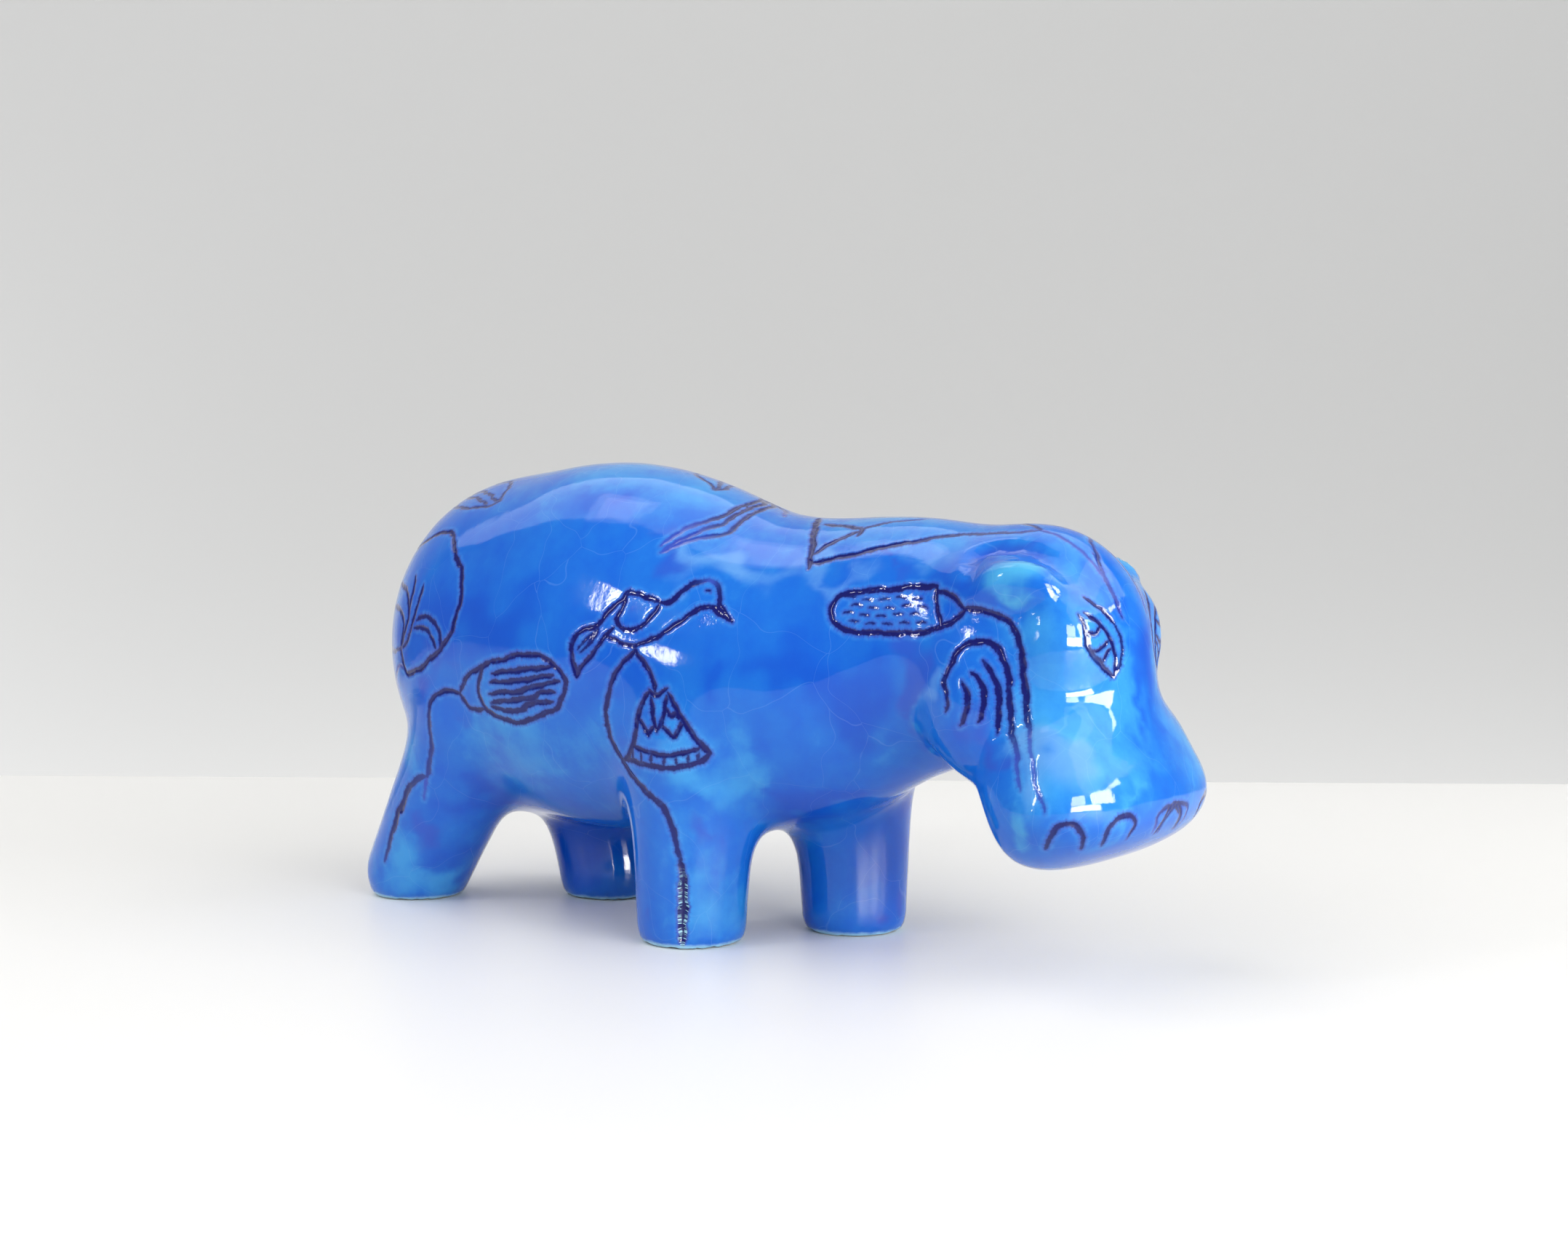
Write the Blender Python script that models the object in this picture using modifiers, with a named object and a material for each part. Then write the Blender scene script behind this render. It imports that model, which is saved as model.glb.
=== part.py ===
"""A striding hippopotamus of glazed pottery, about 205 mm long, cast in one piece.

River plants and a bird are incised in its skin. Lengths are in millimetres until the mesh
is finished. +X points to the nose, +Z is up, and the four soles lie at Z = 0.
"""
import math
from typing import NamedTuple

import bmesh
import bpy
import numpy as np
from mathutils import Matrix, Vector
from mathutils.bvhtree import BVHTree

MM = 0.001

# Working steps: the first skin's quads, and how many triangles it keeps before and after carving
VOXEL = 2.4
RELAX_ROUNDS = 6
PLAIN_TRIANGLES = 5000
CARVED_TRIANGLES = 9800

# Fillet round the edge of each sole
SOLE_FILLET = 2.0

# The incised line, and how far its cutter stands out of the skin
LINE_WIDTH = 1.7
LINE_DEPTH = 0.7
LINE_CLEARANCE = 0.8
STROKE_STEP = 4.0


class Lump(NamedTuple):
    """A rounded mass: centre, half-sizes, lean about Y, turn about Z, fillet and squareness."""

    centre: tuple
    radii: tuple
    lean: float = 0.0
    turn: float = 0.0
    fillet: float = 0.0
    power: float = 2.0


class Leg(NamedTuple):
    """A tapering column from the hip to the foot."""

    hip: tuple
    foot: tuple
    hip_radius: float
    foot_radius: float
    fillet: float


BODY = {
    "barrel": Lump((-35.5, 0, 61.5), (54, 37, 41.8)),
    "rump": Lump((-64.5, 0, 60.4), (33.8, 31, 38.2), fillet=12),
    "chest": Lump((9.5, 0, 56.6), (38, 31, 31), lean=8, fillet=26),
    "neck": Lump((43.5, 0, 66), (42, 22, 26), fillet=22),
    "head": Lump((73.5, 0, 67), (21.5, 19, 23.5), fillet=14),
    "face": Lump((79, 0, 54), (16, 20, 24), lean=-20, fillet=12),
    "lip": Lump((87, 0, 36.6), (14.5, 29, 9.6), lean=-10, fillet=10),
    "muzzle": Lump((84.5, 0, 39.6), (15.2, 26.5, 14.4), lean=-25, fillet=10, power=3.3),
}
PAIRS = {
    "jowl": Lump((67, 14, 55.5), (12.2, 10, 15.2), lean=-12, fillet=8),
    "ear": Lump((71.5, 15.5, 79), (14, 4.8, 5), turn=8, fillet=7),
    "eye": Lump((84.2, 12.2, 68.5), (8, 8, 10.5), fillet=6),
}
TAIL = Lump((-96.6, 0, 60), (2.4, 3.2, 12), fillet=3)
LEGS = {
    "rear_right": Leg((-63.4, -18, 45), (-90.4, -12, 6), 14.5, 12.2, 8),
    "rear_left": Leg((-61.5, 17, 42), (-52.8, 15, 6), 14.2, 12.4, 16),
    "front_right": Leg((-0.5, -20, 42), (-3.5, -17, 5), 14, 12, 14),
    "front_left": Leg((15.2, 17, 42), (18.1, 14, 5), 14, 11.7, 15),
}


def mirrored(lump):
    """The same lump on the left side."""
    x, y, z = lump.centre
    return lump._replace(centre=(x, -y, z), turn=-lump.turn)


def all_lumps():
    """Every rounded mass of the body, in the order in which they are blended."""
    lumps = list(BODY.values()) + [TAIL]
    for lump in PAIRS.values():
        lumps += [lump, mirrored(lump)]
    return lumps


def axes_of(lump):
    """The rotation of a lump as a 3 by 3 array, whose columns are its own axes."""
    turn = Matrix.Rotation(math.radians(lump.turn), 3, "Z")
    lean = Matrix.Rotation(math.radians(lump.lean), 3, "Y")
    return np.array(turn @ lean)


def lump_distance(points, lump):
    """Signed distance, near enough, from a superellipsoid."""
    radii = np.array(lump.radii, float)
    local = np.abs((points - np.array(lump.centre, float)) @ axes_of(lump)) / radii
    size = np.maximum((local ** lump.power).sum(-1) ** (1 / lump.power), 1e-9)
    slope = ((local / size[..., None]) ** (lump.power - 1) / radii) ** 2
    return (size - 1) / np.sqrt(np.maximum(slope.sum(-1), 1e-12))


def leg_distance(points, leg):
    """Signed distance from a tapering column with round ends."""
    hip = np.array(leg.hip, float)
    along = np.array(leg.foot, float) - hip
    share = np.clip((points - hip) @ along / (along @ along), 0, 1)
    away = np.linalg.norm(points - hip - share[..., None] * along, axis=-1)
    return away - leg.hip_radius - (leg.foot_radius - leg.hip_radius) * share


def blend(a, b, fillet):
    """The lesser of two distances, rounded over a fillet."""
    if fillet == 0:
        return np.minimum(a, b)
    near = np.maximum(fillet - np.abs(a - b), 0) / fillet
    return np.minimum(a, b) - near ** 3 * fillet / 6


def body_distance(points):
    """Signed distance from the whole figure, cut flat under its soles."""
    distance = np.full(points.shape[:-1], 1e3)
    for lump in all_lumps():
        distance = blend(distance, lump_distance(points, lump), lump.fillet)
    for leg in LEGS.values():
        distance = blend(distance, leg_distance(points, leg), leg.fillet)
    return -blend(-distance, points[..., 2], SOLE_FILLET)


def slope_at(points):
    """Gradient of the distance by central differences."""
    reach = 0.05
    parts = []
    for axis in np.eye(3) * reach:
        parts.append((body_distance(points + axis) - body_distance(points - axis)) / (2 * reach))
    return np.stack(parts, -1)


def settle(points, rounds=4):
    """Points moved along the slope onto the surface of the figure."""
    for _ in range(rounds):
        slope = slope_at(points)
        steep = np.maximum((slope ** 2).sum(-1), 0.05)
        points = points - (body_distance(points) / steep)[:, None] * slope
    return points


class Panel(NamedTuple):
    """A flat drawing board beside the figure: lines on it are carried straight onto the skin."""

    centre: tuple
    azimuth: float
    elevation: float
    mirror: bool = False

    def frame(self):
        """The board's right, up and outward directions."""
        a = math.radians(self.azimuth)
        e = math.radians(self.elevation)
        outward = np.array([math.sin(a) * math.cos(e), -math.cos(a) * math.cos(e), math.sin(e)])
        right = np.array([math.cos(a), math.sin(a), 0.0])
        return right, np.cross(outward, right), outward

    def carry(self, line):
        """A line of the board laid on the skin."""
        right, up, outward = self.frame()
        start = np.array(self.centre) + line[:, :1] * right + line[:, 1:] * up
        reach = 120.0
        points = start + outward * reach
        for _ in range(80):
            points = points - outward * (0.85 * body_distance(points))[:, None]
        if self.mirror:
            points = points * np.array([1, -1, 1])
        return points


SIDE = Panel((-0.5, 0, 50), 0, 0)
TOP = Panel((-0.5, 0, 90), 0, 60)
RUMP = Panel((-80.5, -10, 60), -45, 0)
FACE = Panel((81.5, -14, 55), 50, 5)
FRONT = Panel((89.5, 0, 50), 90, 0)


def curve(*knots, closed=False):
    """A smooth line through a few knots, with points a step apart."""
    knots = np.array(knots, float)
    count = len(knots)
    spans = count if closed else count - 1
    line = []
    for i in range(spans):
        if closed:
            a, b, c, d = (knots[(i + k) % count] for k in (-1, 0, 1, 2))
        else:
            a, b, c, d = (knots[min(max(i + k, 0), count - 1)] for k in (-1, 0, 1, 2))
        steps = max(2, round(np.linalg.norm(c - b) / STROKE_STEP))
        t = np.arange(steps)[:, None] / steps
        line.append(b + 0.5 * t * (c - a + t * (2 * a - 5 * b + 4 * c - d + t * (3 * (b - c) + d - a))))
    line.append(knots[:1] if closed else knots[-1:])
    return np.concatenate(line)


def oval(centre, radii, tilt=0.0, start=0.0, end=360.0):
    """An arc of an ellipse, or a whole one."""
    length = math.radians(abs(end - start)) * sum(radii) / 2
    steps = max(8, round(length / STROKE_STEP))
    angle = np.radians(np.linspace(start, end, steps + 1))
    x = radii[0] * np.cos(angle)
    y = radii[1] * np.sin(angle)
    c, s = math.cos(math.radians(tilt)), math.sin(math.radians(tilt))
    return np.stack([centre[0] + c * x - s * y, centre[1] + s * x + c * y], -1)


def striped_bud(centre, radii, tilt, tip):
    """A lotus bud: an oval, with a pointed calyx on its left."""
    top = oval(centre, radii, tilt, 155, 155.1)[:1]
    bottom = oval(centre, radii, tilt, 215, 215.1)[:1]
    return [oval(centre, radii, tilt), curve(tip, top[0]), curve(tip, bottom[0])]


def bell(apex, left, right, sag):
    """A bell flower: two flaring sides and a hem that hangs between them."""
    middle = (np.array(left) + np.array(right)) / 2 + np.array([0, -sag])
    return [
        curve(apex, (apex[0] + 0.45 * (left[0] - apex[0]), apex[1] - 4), left),
        curve(apex, (apex[0] + 0.5 * (right[0] - apex[0]), apex[1] - 5), right),
        curve(left, middle, right),
    ]


def horseshoe(left, top, right):
    """An arch on two legs."""
    shoulder = 0.35 * (top[1] - min(left[1], right[1]))
    return curve(left, (left[0], top[1] - shoulder), top, (right[0], top[1] - shoulder), right)


def right_flank():
    """The drawing on the side towards the viewer."""
    lines = striped_bud((-35.6, 4.1), (13.7, 7.9), 9, (-55.7, 2.7))
    lines.append(curve((-55.7, 2.7), (-63.5, 1), (-66, -9.5), (-72, -18.7), (-81.5, -29.5), (-87.5, -39.5)))
    lines.append(curve((-13.5, 18.5), (-20, 15.5), (-19.7, 7.7), (-9, 18)))
    lines.append(curve((-9.5, 25), (-7.9, 15.6), (-0.7, 16.3), (7.9, 22.7), (12, 23.4), (16.5, 20.3)))
    lines.append(curve((-9.5, 25), (-2, 25.5), (0, 24), (8.6, 28.7), (16.5, 20.3)))
    lines.append(curve((-5.7, 15), (-11.9, 5), (-11.4, -8), (-2.9, -15), (3.3, -25), (2.1, -48.7)))
    lines.append(curve((-5.7, 15), (-2, 11.3), (1.4, 5.6)))
    lines += bell((1.4, 5.6), (-7.5, -9.5), (12.9, -6.9), 2.4)
    lines.append(oval((48.5, 23.7), (13, 5), 2))
    lines.append(curve((60.5, 28.7), (68.5, 24.4), (60.5, 19.2)))
    lines.append(curve((60.5, 28.2), (60.5, 19.8)))
    return lines


def left_flank():
    """A plainer drawing on the hidden side."""
    lines = striped_bud((-38, 6), (13, 7.5), 8, (-57, 3))
    lines.append(curve((-57, 3), (-64, 0), (-62, -12), (-56, -26), (-54, -42)))
    lines.append(curve((14, 16), (4, 8), (7, -8), (17, -22), (18.5, -42)))
    lines.append(curve((14, 16), (20, 12), (22, 6)))
    lines += bell((22, 6), (14, -8), (32, -7), 2.4)
    lines.append(oval((48.5, 23.7), (13, 5), 2))
    lines.append(curve((60.5, 28.7), (68.5, 24.4), (60.5, 19.2)))
    return lines


def half_face():
    """Eye, bud stem, cheek arcs and lip marks, as they lie on both sides of the head."""
    return [
        oval((9, 12.8), (7, 4), -58),
        curve((-14, 20.5), (-7.9, 18), (-5.9, 8), (-6.2, -9), (-5.9, -19)),
        curve((-18.2, 1), (-18, 7), (-12.9, 14), (-8.6, 8.6), (-8.2, -4), (-9, -14)),
        curve((-15.4, 2), (-15.6, 7), (-12.9, 9.5), (-11, 6), (-11.5, -1)),
        horseshoe((-4.6, -26), (-1.8, -20.9), (1.8, -26.4)),
    ]


def front_marks():
    """The lip marks that face forward."""
    lines = []
    for middle in (-17.5, 0.5, 18.5):
        lines.append(horseshoe((middle - 4, -18.5), (middle, -13), (middle + 4, -18.5)))
    return lines


def neck_and_back():
    """The long lotus on the neck and the bent bundle on the back."""
    lines = [
        curve((20.4, -1), (29.3, -21.4)),
        curve((24.3, -6.4), (35.7, -8.6)),
        curve((35.7, -8.6), (28.6, -18)),
        curve((29.3, -19.3), (52, -11.4), (75.7, -4), (89.3, -8.6), (94.3, -12.6)),
    ]
    for shift in (0.0, 2.6, 5.2):
        lines.append(curve((shift, 8), (2.4 + shift, -8), (0.6 * shift - 5, shift - 24)))
    return lines


def far_neck():
    """The outline of the same lotus, on the hidden side."""
    return [
        curve((20.4, -1), (29.3, -21.4)),
        curve((29.3, -19.3), (52, -11.4), (75.7, -4)),
    ]


def rump_leaf():
    """A round lotus leaf whose ribs rise from its base."""
    return [
        oval((17, 11.3), (17, 16.3)),
        curve((14.5, -1), (19.5, 8), (19.8, 16)),
        curve((14.5, -1), (17, 8), (13, 13.7), (8, 15.5)),
        curve((20, 6.5), (25, 6.5), (29.5, 1.5)),
    ]


def laid(panel, lines):
    """Lines carried onto the skin from one board."""
    return [panel.carry(line) for line in lines]


def carved_lines():
    """Every incised line of the figure, on the skin."""
    return (
        laid(SIDE, right_flank())
        + laid(SIDE._replace(mirror=True), left_flank())
        + laid(FACE, half_face())
        + laid(FACE._replace(mirror=True), half_face())
        + laid(FRONT, front_marks())
        + laid(TOP, neck_and_back())
        + laid(TOP._replace(mirror=True), far_neck())
        + laid(RUMP, rump_leaf())
    )


def fresh_scene():
    """Empty the scene and return the collections for parts and for cutters."""
    for old in list(bpy.data.objects):
        bpy.data.objects.remove(old, do_unlink=True)
    found = []
    for name in ("hippopotamus", "cutters"):
        group = bpy.data.collections.new(name)
        bpy.context.scene.collection.children.link(group)
        found.append(group)
    return found


def glaze():
    """Deep blue gloss glaze over pottery."""
    material = bpy.data.materials.new("blue_glaze")
    material.use_nodes = True
    shader = material.node_tree.nodes["Principled BSDF"]
    shader.inputs["Base Color"].default_value = (0.02, 0.16, 0.62, 1)
    shader.inputs["Roughness"].default_value = 0.12
    shader.inputs["Metallic"].default_value = 0
    return material


def add_ball(mesh, lump):
    """A ball stretched and turned to a lump's size."""
    place = Matrix.Translation(lump.centre) @ Matrix(axes_of(lump)).to_4x4()
    place = place @ Matrix.Diagonal((*lump.radii, 1))
    bmesh.ops.create_uvsphere(mesh, u_segments=32, v_segments=16, radius=1, matrix=place)


def add_column(mesh, leg):
    """A cone frustum from hip to foot, run on below the floor."""
    hip, foot = Vector(leg.hip), Vector(leg.foot)
    along = foot - hip
    middle = (hip + foot) / 2
    place = Matrix.Translation(middle) @ along.to_track_quat("Z", "Y").to_matrix().to_4x4()
    bmesh.ops.create_cone(
        mesh, cap_ends=True, segments=32, radius1=leg.hip_radius, radius2=leg.foot_radius,
        depth=along.length + leg.foot_radius, matrix=place)


def rough_body(group):
    """Balls and columns fused into one skin of even quads."""
    mesh = bmesh.new()
    for lump in all_lumps():
        add_ball(mesh, lump)
    for leg in LEGS.values():
        add_column(mesh, leg)
    data = bpy.data.meshes.new("hippopotamus")
    mesh.to_mesh(data)
    mesh.free()
    body = bpy.data.objects.new("hippopotamus", data)
    group.objects.link(body)
    remesh = body.modifiers.new("fuse", "REMESH")
    remesh.mode = "VOXEL"
    remesh.voxel_size = VOXEL
    bake(body)
    return body


def bake(body):
    """Replace the body's mesh by its evaluated one and drop the modifiers."""
    graph = bpy.context.evaluated_depsgraph_get()
    data = bpy.data.meshes.new_from_object(body.evaluated_get(graph))
    body.modifiers.clear()
    old = body.data
    body.data = data
    bpy.data.meshes.remove(old)


def points_of(data):
    """The mesh's vertices as an array."""
    points = np.empty(len(data.vertices) * 3)
    data.vertices.foreach_get("co", points)
    return points.reshape(-1, 3)


def smooth_body(body):
    """Even out the quads and settle them on the blended form."""
    data = body.data
    points = settle(points_of(data))
    edges = np.empty(len(data.edges) * 2, int)
    data.edges.foreach_get("vertices", edges)
    edges = edges.reshape(-1, 2)
    for _ in range(RELAX_ROUNDS):
        total = np.zeros_like(points)
        count = np.zeros(len(points))
        for near, far in ((0, 1), (1, 0)):
            np.add.at(total, edges[:, near], points[edges[:, far]])
            np.add.at(count, edges[:, near], 1)
        points = settle(0.5 * points + 0.5 * total / count[:, None], 2)
    data.vertices.foreach_set("co", points.ravel())
    data.update()


def thin_out(body, triangles):
    """Keep so many triangles, small where the form turns quickly."""
    found = sum(len(face.vertices) - 2 for face in body.data.polygons)
    thin = body.modifiers.new("thin", "DECIMATE")
    thin.ratio = min(1.0, triangles / found)
    thin.use_collapse_triangulate = True
    bake(body)


def true_up(body):
    """Settle the thinned skin on the blended form again, with flat soles."""
    points = settle(points_of(body.data), 2)
    points[points[:, 2] < 0.05, 2] = 0
    body.data.vertices.foreach_set("co", points.ravel())
    body.data.update()


def vee_cutter(name, lines, group):
    """V-shaped bars laid along the lines, each narrow edge down in the skin."""
    rise = LINE_CLEARANCE
    half = LINE_WIDTH / 2 * (LINE_DEPTH + rise) / LINE_DEPTH
    mesh = bmesh.new()
    for line in lines:
        normals = slope_at(line)
        normals /= np.linalg.norm(normals, axis=1, keepdims=True)
        along = np.gradient(line, axis=0)
        side = np.cross(normals, along)
        side /= np.linalg.norm(side, axis=1, keepdims=True)
        along /= np.linalg.norm(along, axis=1, keepdims=True)
        line = line.copy()
        line[0] -= along[0] * LINE_WIDTH / 2
        line[-1] += along[-1] * LINE_WIDTH / 2
        crest = line + normals * rise
        corners = (line - normals * LINE_DEPTH, crest + side * half, crest - side * half)
        rows = [[mesh.verts.new(corner[i]) for corner in corners] for i in range(len(line))]
        for a, b in zip(rows, rows[1:]):
            for k in range(3):
                mesh.faces.new((a[k], a[(k + 1) % 3], b[(k + 1) % 3], b[k]))
        mesh.faces.new(rows[0][::-1])
        mesh.faces.new(rows[-1])
    bmesh.ops.recalc_face_normals(mesh, faces=mesh.faces)
    bmesh.ops.triangulate(mesh, faces=mesh.faces)
    data = bpy.data.meshes.new(name)
    mesh.to_mesh(data)
    mesh.free()
    cutter = bpy.data.objects.new(name, data)
    cutter.hide_render = True
    cutter.display_type = "WIRE"
    group.objects.link(cutter)
    return cutter


def snap_to_skin(body, lines):
    """Lines moved from the smooth form to the faceted skin."""
    skin = BVHTree.FromPolygons(
        [vertex.co for vertex in body.data.vertices],
        [tuple(face.vertices) for face in body.data.polygons])
    return [np.array([skin.find_nearest(Vector(point))[0] for point in line]) for line in lines]


def carve(body, cutter):
    """Cut the bars out of the body."""
    cut = body.modifiers.new(cutter.name, "BOOLEAN")
    cut.operation = "DIFFERENCE"
    cut.solver = "EXACT"
    cut.use_self = True
    cut.object = cutter
    bake(body)


def finish(body):
    """Clean slivers and loose points, scale to metres, shade smooth and glaze."""
    mesh = bmesh.new()
    mesh.from_mesh(body.data)
    bmesh.ops.dissolve_degenerate(mesh, dist=0.02, edges=mesh.edges)
    bmesh.ops.triangulate(mesh, faces=mesh.faces)
    loose = [vertex for vertex in mesh.verts if not vertex.link_faces]
    bmesh.ops.delete(mesh, geom=loose, context="VERTS")
    bmesh.ops.scale(mesh, vec=(MM, MM, MM), verts=mesh.verts)
    mesh.to_mesh(body.data)
    mesh.free()
    body.data.shade_smooth()
    body.data.set_sharp_from_angle(angle=math.radians(40))
    body.data.materials.clear()
    body.data.materials.append(glaze())


def main():
    """Build the figure."""
    parts, cutters = fresh_scene()
    body = rough_body(parts)
    smooth_body(body)
    thin_out(body, PLAIN_TRIANGLES)
    true_up(body)
    lines = snap_to_skin(body, carved_lines())
    carve(body, vee_cutter("incised_lines", lines, cutters))
    thin_out(body, CARVED_TRIANGLES)
    finish(body)


main()
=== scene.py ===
"""A striding hippopotamus of blue glazed pottery, with river plants and a bird cut in its skin.

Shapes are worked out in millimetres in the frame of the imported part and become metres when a
mesh is made. +X points to the nose, -Y to the drawn flank that faces the viewer, and +Z is up.
"""
from __future__ import annotations

import logging
import math
from dataclasses import dataclass, replace
from enum import Enum

import bmesh
import bpy
import numpy as np
from mathutils import Matrix, Vector


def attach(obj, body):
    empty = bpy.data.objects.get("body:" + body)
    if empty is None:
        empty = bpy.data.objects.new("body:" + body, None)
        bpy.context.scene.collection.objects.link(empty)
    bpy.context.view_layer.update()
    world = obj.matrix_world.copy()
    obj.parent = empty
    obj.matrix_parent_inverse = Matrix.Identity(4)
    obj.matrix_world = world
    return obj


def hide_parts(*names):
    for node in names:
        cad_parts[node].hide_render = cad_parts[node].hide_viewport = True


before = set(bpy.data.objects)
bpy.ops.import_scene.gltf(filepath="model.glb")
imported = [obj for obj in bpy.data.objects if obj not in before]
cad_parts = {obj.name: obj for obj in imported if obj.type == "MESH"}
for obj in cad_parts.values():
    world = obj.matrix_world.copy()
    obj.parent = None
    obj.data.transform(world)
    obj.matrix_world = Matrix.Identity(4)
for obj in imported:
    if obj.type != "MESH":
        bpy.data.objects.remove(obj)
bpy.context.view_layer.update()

MM = 0.001
LINE_WEIGHT = 0.75
TRACE_STEP = 0.6
Point = tuple[float, float, float]
Spot = tuple[float, float]
log = logging.getLogger("hippopotamus")


def unit(vectors: np.ndarray) -> np.ndarray:
    """Rows scaled to length one."""
    return vectors / np.maximum(np.linalg.norm(vectors, axis=-1, keepdims=True), 1e-9)


def blend(first: np.ndarray, second: np.ndarray, fillet: float) -> np.ndarray:
    """The lesser of two distances, less a cubic fillet where they are about equal.

    Args:
        first: distances from one form.
        second: distances from the other.
        fillet: how far apart they may be and still be rounded over.

    Returns:
        The distance from both forms together: min(a, b) - h^3 fillet / 6, where
        h = max(fillet - |a - b|, 0) / fillet.
    """
    if fillet == 0:
        return np.minimum(first, second)
    near = np.maximum(fillet - np.abs(first - second), 0) / fillet
    return np.minimum(first, second) - near ** 3 * fillet / 6


def ripple(points: np.ndarray, wavelength: float, seed: float) -> np.ndarray:
    """Smooth unevenness between about -1 and 1: the mean of six plane waves.

    Args:
        points: positions, one a row, in millimetres.
        wavelength: the usual distance between two swells.
        seed: moves the whole pattern.

    Returns:
        One value a point. Each wave's direction turns by the golden angle from the last.
    """
    total = np.zeros(len(points))
    for k in range(6):
        height = 1 - (2 * k + 1) / 6
        across = math.sqrt(1 - height * height)
        angle = 2.39996 * k + seed
        direction = np.array([across * math.cos(angle), across * math.sin(angle), height])
        stretch = 1 + 0.17 * k
        total += np.sin(points @ direction * (2 * math.pi * stretch / wavelength) + 1.7 * seed + 2.3 * k)
    return total / 3


# The form


@dataclass(frozen=True)
class Lump:
    """A rounded mass: a superellipsoid with its centre, half-sizes and lean.

    lean turns it about Y and turn about Z, in degrees. fillet rounds it into what is already
    there, and a power above two makes it squarer.
    """

    centre: Point
    radii: Point
    lean: float = 0.0
    turn: float = 0.0
    fillet: float = 0.0
    power: float = 2.0

    def axes(self) -> np.ndarray:
        """The lump's own axes as the columns of a 3 by 3 array."""
        turn = Matrix.Rotation(math.radians(self.turn), 3, "Z")
        lean = Matrix.Rotation(math.radians(self.lean), 3, "Y")
        return np.array(turn @ lean)

    def distance(self, points: np.ndarray) -> np.ndarray:
        """Signed distance, near enough: (s - 1) over the length of the slope of s.

        Args:
            points: positions, one a row.

        Returns:
            One distance a point. s is (|x/a|^n + |y/b|^n + |z/c|^n)^(1/n).
        """
        radii = np.array(self.radii, float)
        local = np.abs((points - np.array(self.centre, float)) @ self.axes()) / radii
        size = np.maximum((local ** self.power).sum(-1) ** (1 / self.power), 1e-9)
        slope = ((local / size[..., None]) ** (self.power - 1) / radii) ** 2
        return (size - 1) / np.sqrt(np.maximum(slope.sum(-1), 1e-12))

    def mirrored(self) -> Lump:
        """The same lump on the other side of the spine."""
        x, y, z = self.centre
        return replace(self, centre=(x, -y, z), turn=-self.turn)


@dataclass(frozen=True)
class Leg:
    """A tapering column with round ends, from hip to foot."""

    hip: Point
    foot: Point
    hip_radius: float
    foot_radius: float
    fillet: float

    def distance(self, points: np.ndarray) -> np.ndarray:
        """Signed distance: how far a point is from the axis, less the radius there.

        Args:
            points: positions, one a row.

        Returns:
            One distance a point. The radius runs evenly from the hip's to the foot's.
        """
        hip = np.array(self.hip, float)
        along = np.array(self.foot, float) - hip
        share = np.clip((points - hip) @ along / (along @ along), 0, 1)
        away = np.linalg.norm(points - hip - share[..., None] * along, axis=-1)
        return away - self.hip_radius - (self.foot_radius - self.hip_radius) * share


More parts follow.
